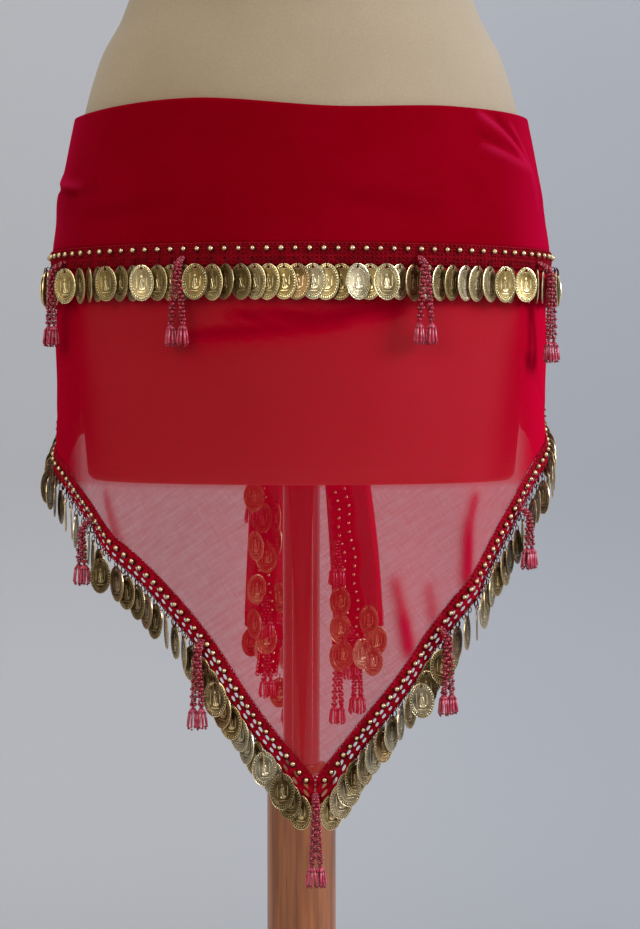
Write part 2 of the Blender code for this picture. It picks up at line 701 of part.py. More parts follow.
def build_tails(veil, crochet, brass, bead):
    """The two tied ends, each with its own edging, coins and tassel along its slanting lower edge."""
    for side, word in ((-1, "left"), (1, "right")):
        front, back = tail_grid(side, 0), tail_grid(side, 1)
        add_wall(f"tail_{word}", back, front, veil)
        drops = np.array([0.0, 0.0, -SEAM_GAP]), np.array([0.0, 0.0, -HEM_CROCHET_DEEP])
        add_wall(
            f"tail_crochet_{word}",
            np.array([back[-1] + drop for drop in drops]),
            np.array([front[-1] + drop for drop in drops]),
            crochet,
        )
        start, end = back[-1][0], back[-1][-1]
        out = np.array([0.0, 1.0, 0.0])
        along = np.array([-1.0, 0.0, 0.0])
        coins = []
        for i in range(TAIL_COINS):
            share = (i + 0.5) / TAIL_COINS
            point = start + (end - start) * share
            point[1] = TAIL_ROWS[-1].back + TAIL_ROWS[-1].pleat + CLOTH_THICK + SEAM_GAP
            point[2] -= HEM_CROCHET_DEEP - CHAIN_UP
            coins.append(Coin(Place(point, out, along), side * HEM_COIN_TURN, HEM_COIN_OUT, HEM_SHOULDER))
        if side > 0:
            coins.reverse()
        build_coin_row(f"tail_coins_{word}", coins, brass)
        middle = start[2] - 0.5 * HEM_CROCHET_DEEP
        point = np.array([start[0] + side * TAIL_TASSEL_IN, coins[0].place.point[1], middle])
        build_tassel(f"tail_tassel_{word}", Place(point, out, along), TAIL_TASSEL_LONG, TASSEL_OUT, bead)


def main():
    for old in list(bpy.data.objects):
        bpy.data.objects.remove(old)
    jersey = material("beige_jersey", (0.40, 0.31, 0.21), 0.9)
    wood = material("varnished_wood", (0.30, 0.12, 0.045), 0.35)
    pole_finish = material("pole_wood", (0.16, 0.04, 0.03), 0.3)
    veil = material("crimson_chiffon", (0.36, 0.012, 0.03), 0.7)
    band = material("crimson_double_chiffon", (0.22, 0.001, 0.006), 0.7)
    crochet = material("red_crochet", (0.30, 0.006, 0.015), 0.8)
    gold = material("antique_gold_coins", (0.62, 0.50, 0.26), 0.35, metallic=0.9)
    brass = material("antique_brass_coins", (0.34, 0.24, 0.11), 0.4, metallic=0.9)
    bead = material("red_glass_beads", (0.45, 0.01, 0.03), 0.2)
    build_form(jersey, wood)
    build_stand(wood, pole_finish)
    build_cloth(veil, band)
    build_band_crochet(crochet)
    build_hem_crochet(crochet)
    build_band_coins(gold)
    build_hem_coins(brass)
    build_tassels(bead)
    build_knot(veil)
    build_tails(veil, crochet, brass, bead)


main()
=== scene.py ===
"""Looks of a belly dance hip scarf on a dress form: chiffon, crochet, coins, beads and the stand."""

import math
from collections import namedtuple

import bmesh
import bpy
import numpy as np
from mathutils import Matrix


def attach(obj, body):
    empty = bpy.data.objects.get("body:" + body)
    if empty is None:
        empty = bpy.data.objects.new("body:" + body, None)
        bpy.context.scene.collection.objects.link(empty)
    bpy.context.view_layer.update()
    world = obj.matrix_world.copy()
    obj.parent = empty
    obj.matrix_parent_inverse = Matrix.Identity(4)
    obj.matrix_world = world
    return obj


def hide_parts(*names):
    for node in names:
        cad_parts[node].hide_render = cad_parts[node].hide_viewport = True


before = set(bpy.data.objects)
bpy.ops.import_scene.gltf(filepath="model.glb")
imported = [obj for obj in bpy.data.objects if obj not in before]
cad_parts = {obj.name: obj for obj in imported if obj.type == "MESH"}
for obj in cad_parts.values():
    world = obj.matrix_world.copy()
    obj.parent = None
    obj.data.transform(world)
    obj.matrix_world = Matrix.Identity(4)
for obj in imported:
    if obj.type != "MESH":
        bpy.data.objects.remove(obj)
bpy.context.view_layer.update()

# ---------------------------------------------------------------------------------------------
# Sizes, as in the part, in metres and degrees
# ---------------------------------------------------------------------------------------------
HEM_CROCHET_DEEP = 0.0128
BAND_CROCHET_DEEP = 0.015
SEAM_GAP = 0.0004
TUCK_IN = 0.0015
TUCK_FROM_Z = 0.645
TUCK_OVER = 0.030
BAND_REACH = 0.15
LACE_PITCH = 0.0071
LACE_GAP = 0.0040
LACE_SLANT = 0.35
LOOP_PITCH = 0.0064
END_ANGLE = 167.0
TIP_ANGLE = 3.6
GATHER_FROM = 152.0
LIFT_TO_KNOT = 0.0175
COIN_WIDE = 0.0175
COIN_TALL = 0.0245
COIN_PITCH = 0.0096
COIN_NECK = 0.0022
LEFT_COIN_TURN = (18.0, 16.0)
RIGHT_COIN_TURN = (21.0, 18.0)
FRONT_COIN_OUT = 0.0050
FRONT_COIN_END = 60.0
COIN_RAISE = 0.0025
HEM_COINS_TURN = (32.0, 28.0)
TAIL_COIN_TURN = 25.0
BAND_COIN_OUT = 0.0052
HEM_COIN_OUT = 0.0044
TOP_COIN_OUT = 0.0052
BAND_JOIN_ANGLE = 18.0
BAND_COIN_END = 149.0
HEM_COIN_END = 152.0
HEM_COIN_START = 0.0150
HEM_CROCHET_END = 158.5
CORD_BELOW = 0.0004
CHAIN_UP = 0.0012
BULB_TALL = 0.0150
BULB_RADIUS = 0.0034
LEG_APART = 0.0046
TASSEL_OUT = 0.0112
TASSEL_LOOP_UP = 0.0055
BASE_RADIUS = 0.215
BASE_TALL = 0.030
BASE_EDGE = 0.006
COLUMN_RADIUS = 0.0254
COLUMN_TOP = 0.340
POLE_RADIUS = 0.0136
FORM_BOTTOM = 0.550
FORM_TOP = 1.340
PIECE_GAP = 0.0003
KNOT_CENTRE = (0.0, 0.1480, 0.7485)
KNOT_HALF = (0.0423, 0.0165, 0.0240)
TAIL_SHIFT = 0.0085
TAIL_PLEATS = 2
TAIL_EDGE_RISE = 0.016
TAIL_COINS = 4
TAIL_TASSEL_LONG = 0.074
TAIL_TASSEL_IN = 0.004
CLOTH_THICK = 0.0012
BAND_BEAD_PITCH = 0.00955
BAND_BEADS_BELOW = 0.0038
BAND_PITS_BELOW = 0.0106
BAND_STITCH_ROWS = (0.0012, 0.0048, 0.0074, 0.0102, 0.0130)
TAIL_STITCH_ROWS = (0.0018, 0.0046, 0.0074, 0.0102, 0.0122)
# Share of the hem's depth and size of stitch.
HEM_STITCH_ROWS = ((0.06, 0.9), (0.22, 0.9), (0.67, 0.5), (0.95, 0.8))
LACE_ROWS = (0.02, 0.24, 0.48, 0.62, 0.72, 0.86, 1.0)
SLOT_ROWS = (2, 4)
STITCH_PITCH = 0.0031
BEAD_OUT = 0.0022
SEED_PITCH = 0.0026
STRAND_OUT = 0.0014
BULB_STRANDS = 8
FORM_STITCH_PITCH = 0.0040
FORM_STITCHES_UP = 0.0135
FORM_ROUND = 0.006
COLUMN_ROUND = 0.016
STITCH_LIFT = 0.0004
HEM_BEADS_SHARE = 0.38
HEM_LOOPS_BELOW = 0.0015
COIN_FACE = 0.00034
COIN_HOLE = 0.00105
FRONT_COIN_TURN = 24.0
LEG_CLOSER = 0.68
STRAND_TWIST = 0.0105
TRIM_TASSEL_OUT = 0.003
ONE_MM = 0.001
UV_REACH = 0.16
TAIL_UV_WIDE = 0.055
BACKING_THICK = 0.0009
BAND_BACKING_THICK = 0.0008
BAND_BACKING_IN = 0.0001
BAND_STITCHES_OUT = 0.0002
HEM_LACE_OUT = 0.0002
HEM_STITCHES_OUT = 0.0004
HEM_LOOPS_OUT = 0.0006
PITS_OUT = 0.0009
SHADOW_RING_OUT = 0.0009
SHADOW_RING_BELOW = 0.0004
LOOP_ABOVE = 0.0009
BAND_CORD_OUT = 0.0009
HEM_CORD_OUT = 0.0010
BAND_TASSEL_START_OUT = 0.0008
HEM_TASSEL_START_OUT = 0.0006
BAND_FRONT_SHARE = 0.36
HEM_FRONT_SHARE = 0.12
LEAST_COIN_TURN = 7
MOST_COIN_TURN = 62
TRIM_STITCHES_OUT = 0.0006
TRIM_BEAD_OUT = 0.0015
TRIM_COIN_OUT = 0.004
TRIM_COIN_STEP = 0.0011
# Sizes of the gold beads and of the dark rings round them, which are painted shadow.
BAND_BEAD_SIZES = (1.85, 1.05)
HEM_BEAD_SIZES = (1.80, 1.0)
TRIM_BEAD_SIZES = (1.55, 0.9)
SEED_SIZE = 1.65
SMALL_SEED_SIZE = 0.95
END_SEED_SIZE = 1.35
SIDES = ((-1, "left"), (1, "right"))
# Radius and height above the neck.
NECK_CAP = (
    (0.046, 0.0), (0.0525, 0.002), (0.054, 0.005), (0.054, 0.0095), (0.052, 0.0125),
    (0.046, 0.0152), (0.036, 0.0178), (0.024, 0.0198), (0.012, 0.021),
)

Level = namedtuple("Level", "z width front back")
CLOTH_LEVELS = [
    Level(0.300, 0.1640, 0.1155, 0.1270),
    Level(0.340, 0.1655, 0.1170, 0.1280),
    Level(0.450, 0.1705, 0.1195, 0.1300),
    Level(0.562, 0.1755, 0.1215, 0.1310),
    Level(0.608, 0.1780, 0.1215, 0.1315),
    Level(0.645, 0.1795, 0.1210, 0.1320),
    Level(0.682, 0.1805, 0.1203, 0.1320),
    Level(0.711, 0.1815, 0.1195, 0.1320),
    Level(0.739, 0.1780, 0.1165, 0.1300),
    Level(0.759, 0.1750, 0.1140, 0.1270),
    Level(0.787, 0.1700, 0.1105, 0.1220),
    Level(0.816, 0.1640, 0.1075, 0.1175),
]
FORM_LEVELS = [
    Level(0.550, 0.1560, 0.0950, 0.1080),
    Level(0.600, 0.1610, 0.1040, 0.1180),
    Level(0.645, 0.1690, 0.1110, 0.1240),
    Level(0.680, 0.1755, 0.1148, 0.1275),
    Level(0.711, 0.1784, 0.1164, 0.1289),
    Level(0.739, 0.1742, 0.1128, 0.1262),
    Level(0.759, 0.1700, 0.1100, 0.1228),
    Level(0.787, 0.1630, 0.1060, 0.1170),
    Level(0.820, 0.1565, 0.1020, 0.1115),
    Level(0.857, 0.1450, 0.0950, 0.1020),
    Level(0.885, 0.1300, 0.0890, 0.0940),
    Level(0.920, 0.1200, 0.0850, 0.0880),
    Level(0.960, 0.1215, 0.0865, 0.0880),
    Level(1.020, 0.1350, 0.0960, 0.0920),
    Level(1.100, 0.1520, 0.1120, 0.0960),
    Level(1.170, 0.1640, 0.1080, 0.0970),
    Level(1.230, 0.1700, 0.0900, 0.0900),
    Level(1.265, 0.1500, 0.0740, 0.0770),
    Level(1.285, 0.1080, 0.0620, 0.0640),
    Level(1.302, 0.0700, 0.0540, 0.0550),
    Level(FORM_TOP, 0.0560, 0.0500, 0.0510),
]
Edge = namedtuple("Edge", "angle z")
TOP_EDGE = [
    Edge(-167, 0.775), Edge(-150, 0.803), Edge(-130, 0.811), Edge(-75, 0.811), Edge(-28, 0.815),
    Edge(10, 0.808), Edge(40, 0.811), Edge(130, 0.811), Edge(150, 0.803), Edge(167, 0.775),
]
BAND_EDGE = [
    Edge(-167, 0.741), Edge(-152, 0.716), Edge(-90, 0.715), Edge(90, 0.715), Edge(152, 0.716),
    Edge(167, 0.741),
]
LEFT_HEM = [
    Edge(-167, 0.724), Edge(-158, 0.695), Edge(-145, 0.672), Edge(-125, 0.643), Edge(-108, 0.612),
    Edge(-90, 0.582), Edge(-67, 0.553), Edge(-45, 0.513), Edge(-21, 0.450), Edge(-7.4, 0.391),
    Edge(3.6, 0.352),
]
RIGHT_HEM = [
    Edge(3.6, 0.352), Edge(17, 0.401), Edge(31.6, 0.455), Edge(47, 0.505), Edge(64, 0.552),
    Edge(79, 0.577), Edge(90, 0.590), Edge(108, 0.618), Edge(125, 0.646), Edge(145, 0.673),
    Edge(158, 0.695), Edge(167, 0.724),
]
Fold = namedtuple("Fold", "angle from_z to_z half_wide high")
VEIL_FOLDS = [
    Fold(-152, 0.700, 0.660, 7, 0.003),
    Fold(-122, 0.660, 0.600, 8, 0.005),
    Fold(-82, 0.630, 0.560, 7, 0.004),
    Fold(-47, 0.600, 0.520, 7, 0.006),
    Fold(-16, 0.540, 0.430, 8, 0.005),
    Fold(23, 0.530, 0.420, 7, 0.005),
    Fold(41, 0.600, 0.500, 7, 0.006),
    Fold(80, 0.630, 0.570, 7, 0.003),
    Fold(118, 0.660, 0.600, 8, 0.005),
    Fold(150, 0.700, 0.660, 7, 0.003),
]
# Soft lines across the cloth between two places: ridges stand out, troughs (less than 0) sink in.
Ridge = namedtuple("Ridge", "from_angle from_z to_angle to_z half_wide high")
BAND_RIDGES = [
    Ridge(52, 0.792, 80, 0.752, 0.016, 0.0022),
    Ridge(-88, 0.752, -66, 0.760, 0.014, 0.0022),
    Ridge(-40, 0.735, -8, 0.760, 0.020, 0.0014),
    Ridge(104, 0.760, 128, 0.745, 0.018, 0.0018),
    Ridge(-132, 0.742, -106, 0.762, 0.018, 0.0018),
]
BAND_CREASES = [
    Ridge(48, 0.808, 57, 0.796, 0.0026, 0.0013),
    Ridge(57, 0.796, 68, 0.774, 0.0026, 0.0015),
    Ridge(62, 0.803, 70, 0.777, 0.0022, 0.0013),
    Ridge(48, 0.786, 69, 0.771, 0.0032, 0.0011),
    Ridge(69, 0.774, 72, 0.742, 0.0040, 0.0008),
    Ridge(55, 0.806, 65, 0.789, 0.0034, -0.0013),
    Ridge(46, 0.794, 62, 0.781, 0.0038, -0.0010),
    Ridge(-92, 0.764, -64, 0.7535, 0.0022, -0.0014),
    Ridge(-94, 0.770, -62, 0.7590, 0.0040, 0.0010),
    Ridge(-80, 0.751, -52, 0.7550, 0.0040, -0.0005),
    Ridge(-58, 0.735, -30, 0.744, 0.0070, -0.0006),
    Ridge(8, 0.748, 34, 0.738, 0.0080, -0.0006),
    Ridge(118, 0.792, 146, 0.752, 0.0050, -0.0011),
    Ridge(112, 0.780, 140, 0.745, 0.0060, 0.0009),
    Ridge(-146, 0.756, -118, 0.792, 0.0050, -0.0011),
    Ridge(-142, 0.742, -112, 0.770, 0.0060, 0.0009),
]
VEIL_CREASES = [
    Ridge(-16, 0.6665, 8, 0.6655, 0.0028, -0.0026),
    Ridge(8, 0.6655, 23, 0.6710, 0.0044, -0.0022),
    Ridge(-24, 0.6520, 9, 0.6620, 0.0044, -0.0026),
    Ridge(-20, 0.6600, 4, 0.6612, 0.0034, 0.0004),
    Ridge(-49.5, 0.5456, -44.2, 0.5076, 0.0036, 0.0009),
    Ridge(43.2, 0.5450, 40.4, 0.5220, 0.0042, 0.0012),
    Ridge(40.4, 0.5220, 40.2, 0.4812, 0.0046, 0.0018),
    Ridge(21.6, 0.4880, 23.6, 0.4640, 0.0040, 0.0011),
    Ridge(23.6, 0.4640, 25.6, 0.4340, 0.0046, 0.0018),
    Ridge(30.5, 0.4820, 32.3, 0.4544, 0.0042, 0.0008),
    Ridge(62, 0.640, 88, 0.588, 0.0050, -0.0012),
    Ridge(-96, 0.620, -70, 0.566, 0.0050, -0.0012),
    Ridge(-104, 0.640, -84, 0.592, 0.0045, 0.0012),
    Ridge(108, 0.680, 122, 0.632, 0.0045, -0.0016),
    Ridge(128, 0.690, 138, 0.660, 0.0040, 0.0018),
    Ridge(-128, 0.690, -116, 0.640, 0.0045, -0.0016),
    Ridge(-140, 0.694, -134, 0.664, 0.0040, 0.0018),
]
CREASE_FULL = 0.0026
Hanging = namedtuple("Hanging", "angle long")
BAND_TASSELS = [
    Hanging(-146, 0.058), Hanging(-66, 0.059), Hanging(-25.8, 0.060), Hanging(26.5, 0.059),
    Hanging(67, 0.070), Hanging(145, 0.058),
]
HEM_TASSELS = [
    Hanging(-134, 0.055), Hanging(-104, 0.055), Hanging(-54, 0.046), Hanging(-21, 0.059),
    Hanging(TIP_ANGLE, 0.062), Hanging(32, 0.058), Hanging(58.5, 0.044), Hanging(106, 0.055),
    Hanging(133, 0.055),
]
TailRow = namedtuple("TailRow", "z inner wide back pleat")
TAIL_ROWS = [
    TailRow(0.7266, 0.0030, 0.0160, 0.1475, 0.0015),
    TailRow(0.700, 0.0045, 0.0205, 0.1530, 0.0035),
    TailRow(0.620, 0.0085, 0.0290, 0.1550, 0.0050),
    TailRow(0.540, 0.0120, 0.0350, 0.1550, 0.0050),
    TailRow(0.470, 0.0145, 0.0385, 0.1550, 0.0045),
    TailRow(0.420, 0.0160, 0.0400, 0.1550, 0.0035),
]
SHELL_THICK = 0.0005
TRIM_BACK = 0.1465
# The edging of the tied ends, as places (x, z), coins (x, z of the middle, turn)
# and tassels (x, z, length).
TailTrim = namedtuple("TailTrim", "word line wide coins tassels")
TAIL_TRIMS = [
    TailTrim(
        "left", [(-0.0340, 0.640), (-0.0345, 0.540), (-0.0310, 0.470), (-0.0285, 0.385)], 0.0150,
        [
            (-0.0330, 0.5850, 20), (-0.0385, 0.5560, -12), (-0.0400, 0.5290, 8), (-0.0330, 0.5120, -6),
            (-0.0215, 0.5120, 66), (-0.0210, 0.4940, 62), (-0.0300, 0.4800, 4), (-0.0390, 0.4890, 40),
            (-0.0370, 0.4540, -30), (-0.0190, 0.4469, 30), (-0.0400, 0.4260, 48), (-0.0290, 0.4130, -10),
            (-0.0187, 0.3700, 12),
        ],
        [(-0.0400, 0.5420, 0.034), (-0.0300, 0.4480, 0.034), (-0.0290, 0.4020, 0.036)],
    ),
    TailTrim(
        "right", [(0.0265, 0.640), (0.0300, 0.540), (0.0375, 0.470), (0.0410, 0.398)], 0.0165,
        [
            (0.0305, 0.4440, 14), (0.0300, 0.4220, -8), (0.0318, 0.4010, 6), (0.0600, 0.4120, -14),
            (0.0555, 0.3960, 10), (0.0480, 0.4020, -24), (0.0530, 0.4290, 28),
        ],
        [(0.0275, 0.4930, 0.036), (0.0440, 0.4150, 0.062), (0.0390, 0.4230, 0.042)],
    ),
]


class Curve:
    """A smooth curve through given places and values that never swings past them."""

    def __init__(self, places, values):
        self.places = np.array(places, float)
        self.values = np.array(values, float)
        steps = np.diff(self.values) / np.diff(self.places)
        before, after = steps[:-1], steps[1:]
        total = np.where(before * after > 0, before + after, 1.0)
        inner = np.where(before * after > 0, 2 * before * after / total, 0.0)
        self.slopes = np.concatenate([steps[:1], inner, steps[-1:]])

    def at(self, place):
        place = np.clip(place, self.places[0], self.places[-1])
        last = len(self.places) - 2
        i = np.clip(np.searchsorted(self.places, place, side="right") - 1, 0, last)
        span = self.places[i + 1] - self.places[i]
        t = (place - self.places[i]) / span
        start, end = self.values[i], self.values[i + 1]
        rise = t * t * (3 - 2 * t)
        bend = span * t * (1 - t) * ((1 - t) * self.slopes[i] - t * self.slopes[i + 1])
        return start + (end - start) * rise + bend


def curves_of(levels):
    heights = [level.z for level in levels]
    return [Curve(heights, [getattr(level, side) for level in levels]) for side in Level._fields[1:]]


def edge_curve(edges):
    return Curve([math.radians(edge.angle) for edge in edges], [edge.z for edge in edges])


CLOTH = curves_of(CLOTH_LEVELS)
FORM = curves_of(FORM_LEVELS)
TOP = edge_curve(TOP_EDGE)
BAND = edge_curve(BAND_EDGE)
LEFT, RIGHT = edge_curve(LEFT_HEM), edge_curve(RIGHT_HEM)
TIP = math.radians(TIP_ANGLE)
DOWN = np.array([0.0, 0.0, -1.0])


def soft_step(t):
    t = np.clip(t, 0.0, 1.0)
    return t * t * (3 - 2 * t)


def unit(vectors):
    return vectors / np.linalg.norm(vectors, axis=-1, keepdims=True)


def full_turn(count):
    """Angles spread evenly over one turn."""
    return np.linspace(0, 2 * math.pi, count, endpoint=False)


def outward(curves, angle, z):
    """The level direction that points straight out of the surface."""
    width = curves[0].at(z)
    depth = np.where(np.cos(angle) > 0, curves[1].at(z), curves[2].at(z))
    return unit(np.stack([depth * np.sin(angle), -width * np.cos(angle), 0 * angle + 0 * z], axis=-1))


def surface(curves, angle, z, out=0.0):
    """Points on the surface at an angle and a height, moved out by a distance."""
    angle, z, out = np.broadcast_arrays(np.asarray(angle, float), z, out)
    width = curves[0].at(z)
    depth = np.where(np.cos(angle) > 0, curves[1].at(z), curves[2].at(z))
    point = np.stack([width * np.sin(angle), -depth * np.cos(angle), z], axis=-1)
    return point + out[..., None] * outward(curves, angle, z)


def hem_z(angle):
    return np.where(angle < TIP, LEFT.at(angle), RIGHT.at(angle))


def column_angles(columns, end=END_ANGLE):
    share = np.linspace(-1, 1, columns + 1)
    return np.radians(end * share + TIP_ANGLE * (1 - np.abs(share)))


def near_knot(angle):
    return soft_step((np.abs(np.degrees(angle)) - GATHER_FROM) / (END_ANGLE - GATHER_FROM))


def gathers(angle, z):
    """Small folds that run together towards the knot."""
    centre = KNOT_CENTRE[2]
    spread = 0.013 * (1 + 2.2 * (1 - near_knot(angle)))
    strength = soft_step((np.abs(np.degrees(angle)) - 132) / 30)
    return 0.0011 * strength * np.sin(2 * math.pi * (z - centre) / spread + 1.3 * np.sin(angle * 5))


def ridges_out(ridges, angle, z):
    """How far soft ridges and troughs move the cloth out."""
    out = 0 * angle + 0 * z
    for ridge in ridges:
        start = np.array([math.radians(ridge.from_angle) * BAND_REACH, ridge.from_z])
        run = np.array([math.radians(ridge.to_angle) * BAND_REACH, ridge.to_z]) - start
        place = np.stack([angle * BAND_REACH + 0 * z, z + 0 * angle], axis=-1) - start
        share = place @ run / (run @ run)
        along = np.clip(share, 0, 1)
        away = np.linalg.norm(place - along[..., None] * run, axis=-1)
        fade = soft_step((share + 0.25) / 0.5) * soft_step((1.25 - share) / 0.5)
        out = out + ridge.high * fade * np.exp(-((away / ridge.half_wide) ** 2))
    return out


def crease_shade(ridges, angle, z):
    """1 on the crest of a full ridge and -1 in the bottom of a full trough."""
    return np.clip(ridges_out(ridges, angle, z) / CREASE_FULL, -1, 1)


def veil_out(angle, z):
    """How far the panel's outer side stands from the outermost cloth surface."""
    out = -TUCK_IN * soft_step((z - TUCK_FROM_Z) / TUCK_OVER)
    for fold in VEIL_FOLDS:
        across = (np.degrees(angle) - fold.angle) / fold.half_wide
        fall = soft_step((fold.from_z - z) / (fold.from_z - fold.to_z))
        out = out + fold.high * np.exp(-(across**2)) * fall
    free = soft_step((BAND.at(angle) - 0.004 - z) / 0.02)
    creases = free * ridges_out(VEIL_CREASES, angle, z)
    return out + LIFT_TO_KNOT * near_knot(angle) + gathers(angle, z) + creases


def band_out(angle, z):
    """How far the band's outer side stands from the outermost cloth surface."""
    ridges = ridges_out(BAND_RIDGES + BAND_CREASES, angle, z)
    return LIFT_TO_KNOT * near_knot(angle) + gathers(angle, z) + ridges


def band_line(angles, below, out):
    edge = BAND.at(angles)
    return surface(CLOTH, angles, edge - below, band_out(angles, edge) + out)


def on_hem(angles):
    edge = hem_z(angles)
    return surface(CLOTH, angles, edge, veil_out(angles, edge))


def hem_line(side, angles, across, out):
    """Points along the left (-1) or right (1) hem, a distance across its trim and out from the panel."""
    step = math.radians(2.0)
    span = sorted((TIP, math.radians(side * END_ANGLE)))
    edge = on_hem(angles)
    run = unit(on_hem(np.clip(angles + step, *span)) - on_hem(np.clip(angles - step, *span)))
    down = unit(DOWN + run[:, 2:] * run)
    near = np.clip(1 - np.abs(angles - TIP) / math.radians(5.0), 0, 1)[:, None]
    slope = np.abs(run[:, 2:])
    longer = 1 + near * (1 / np.sqrt(1 - slope**2) - 1)
    down = unit(down * (1 - near) + DOWN * near)
    return edge + across * longer * down + out * outward(CLOTH, angles, edge[:, 2])


def hem_angles(side, last=HEM_CROCHET_END, count=1200):
    return np.linspace(TIP, math.radians(side * last), count)


Places = namedtuple("Places", "points outward along angles")


def level_of(out):
    """The level direction to the right of each outward one."""
    return np.stack([-out[..., 1], out[..., 0], 0 * out[..., 0]], axis=-1)


def distances_along(line):
    """How far along the line each of its points lies."""
    return np.concatenate([[0.0], np.cumsum(np.linalg.norm(np.diff(line, axis=0), axis=1))])


def points_at(line, run, at):
    return np.stack([np.interp(at, run, line[:, axis]) for axis in range(3)], axis=-1)


def walk(line, angles, pitch, first=0.0, curves=CLOTH):
    """Evenly spaced places on a line of points, each with its outward and its level direction."""
    run = distances_along(line)
    at = np.arange(first, run[-1], pitch)
    points = points_at(line, run, at)
    turned = np.interp(at, run, angles)
    out = outward(curves, turned, points[:, 2])
    return Places(points, out, level_of(out), turned)


def line_length(line):
    return float(np.linalg.norm(np.diff(line, axis=0), axis=1).sum())


# ---------------------------------------------------------------------------------------------
# Finishes
# ---------------------------------------------------------------------------------------------
class Value:
    """A number in a finish that can be used in Python sums."""

    def __init__(self, finish, socket):
        self.finish, self.socket = finish, socket

    def sum(self, operation, *values):
        node = self.finish.add("ShaderNodeMath", {"operation": operation}, dict(enumerate(values)))
        return Value(self.finish, node.outputs[0])

    def __add__(self, other):
        return self.sum("ADD", self, other)

    def __sub__(self, other):
        return self.sum("SUBTRACT", self, other)

    def __rsub__(self, other):
        return self.sum("SUBTRACT", other, self)

    def __mul__(self, other):
        return self.sum("MULTIPLY", self, other)

    def __truediv__(self, other):
        return self.sum("DIVIDE", self, other)

    def __pow__(self, other):
        return self.sum("POWER", self, other)

    __radd__, __rmul__ = __add__, __mul__

    def wave(self):
        return self.sum("SINE", self)

    def size(self):
        return self.sum("ABSOLUTE", self)

    def least(self, other):
        return self.sum("MINIMUM", self, other)

    def most(self, other):
        return self.sum("MAXIMUM", self, other)

    def between(self, low, high):
        """0 below low, 1 above high, and smooth between them."""
        node = self.finish.add(
            "ShaderNodeMapRange",
            {"interpolation_type": "SMOOTHSTEP"},
            {"Value": self, "From Min": low, "From Max": high},
        )
        return Value(self.finish, node.outputs["Result"])


class Finish:
    """A material with its shader and the nodes that vary it."""

    def __init__(self, name, colour, roughness, metallic=0.0, **constants):
        self.material = bpy.data.materials.new(name)
        self.material.use_nodes = True
        self.tree = self.material.node_tree
        self.shader = self.tree.nodes["Principled BSDF"]
        self.set(**{"Base Color": (*colour, 1), "Roughness": roughness, "Metallic": metallic})
        self.set(**{name.replace("_", " "): value for name, value in constants.items()})

    def set(self, **sockets):
        for name, value in sockets.items():
            self.feed(self.shader.inputs[name.replace("_", " ")], value)

    def feed(self, socket, value):
        if isinstance(value, Value):
            value = value.socket
        if isinstance(value, bpy.types.NodeSocket):
            self.tree.links.new(value, socket)
        else:
            socket.default_value = value

    def add(self, kind, settings=None, sockets=None):
        """A node of any kind: its settings first, then the values or links of its sockets."""
        node = self.tree.nodes.new(kind)
        for name, value in (settings or {}).items():
            setattr(node, name, value)
        for name, value in (sockets or {}).items():
            self.feed(node.inputs[name], value)
        return node

    def place(self, kind="Object"):
        return self.add("ShaderNodeTexCoord").outputs[kind]

    def mapped(self, place, scale=(1, 1, 1), turn=(0, 0, 0)):
        turn = [math.radians(a) for a in turn]
        node = self.add("ShaderNodeMapping", None, {"Vector": place, "Rotation": turn, "Scale": scale})
        return node.outputs[0]

    def turned(self, place, turn, scale):
        """Coordinates turned about Z first, and stretched after that."""
        return self.mapped(self.mapped(place, turn=(0, 0, turn)), scale)

    def parts(self, place):
        node = self.add("ShaderNodeSeparateXYZ", None, {0: place})
        return [Value(self, socket) for socket in node.outputs]

    def noise(self, place, scale, detail=2.0, rough=0.5):
        sockets = {"Vector": place, "Scale": scale, "Detail": detail, "Roughness": rough}
        return Value(self, self.add("ShaderNodeTexNoise", None, sockets).outputs[0])

    def attribute(self, name):
        return Value(self, self.add("ShaderNodeAttribute", {"attribute_name": name}).outputs["Fac"])

    def mix(self, share, first, second):
        """From the first colour at 0 to the second at 1."""
        first, second = [(*c, 1) if isinstance(c, tuple) else c for c in (first, second)]
        node = self.add("ShaderNodeMix", {"data_type": "RGBA"}, {0: share, 6: first, 7: second})
        return node.outputs[2]

    def bump(self, height, distance, strength=1.0):
        sockets = {"Height": height, "Distance": distance, "Strength": strength}
        self.feed(self.shader.inputs["Normal"], self.add("ShaderNodeBump", None, sockets).outputs[0])


SLUB_SLANT = 34.0
SIDE_TURN = (0.147, 0.172)
SHEEN = (1.0, 0.02, 0.12, 1)
FOLD_RED = (0.43, 0.0002, 0.026)
# Darker fold colour over the form: painted shade.
FOLD_RED_OVER_FORM = (0.31, 0.0002, 0.010)
MATT_CLOTH = {"Specular_IOR_Level": 0.0, "Sheen_Roughness": 0.45, "Sheen_Tint": SHEEN}
CLOTH_ROUGH = 0.7


def jersey_finish():
    finish = Finish("beige_jersey", (0.40, 0.31, 0.21), 0.92, Sheen_Weight=0.25, Sheen_Roughness=0.5)
    place = finish.place()
    x, y, z = finish.parts(place)
    courses = (z * 5200).wave()
    wales = ((x * 3900).wave() + (y * 3900).wave()) * 0.5
    knit = courses * 0.5 + wales * 0.5
    cloudy = finish.noise(place, 9.0, 3.0)
    fine = finish.noise(place, 900.0, 2.0)
    warm = finish.mix(cloudy.between(0.3, 0.7), (0.380, 0.285, 0.170), (0.430, 0.328, 0.205))
    finish.set(Base_Color=finish.mix(fine.between(0.35, 0.7) * 0.35, warm, (0.30, 0.215, 0.125)))
    finish.bump(knit * 0.35 + fine, 0.00012, 0.35)
    return finish.material


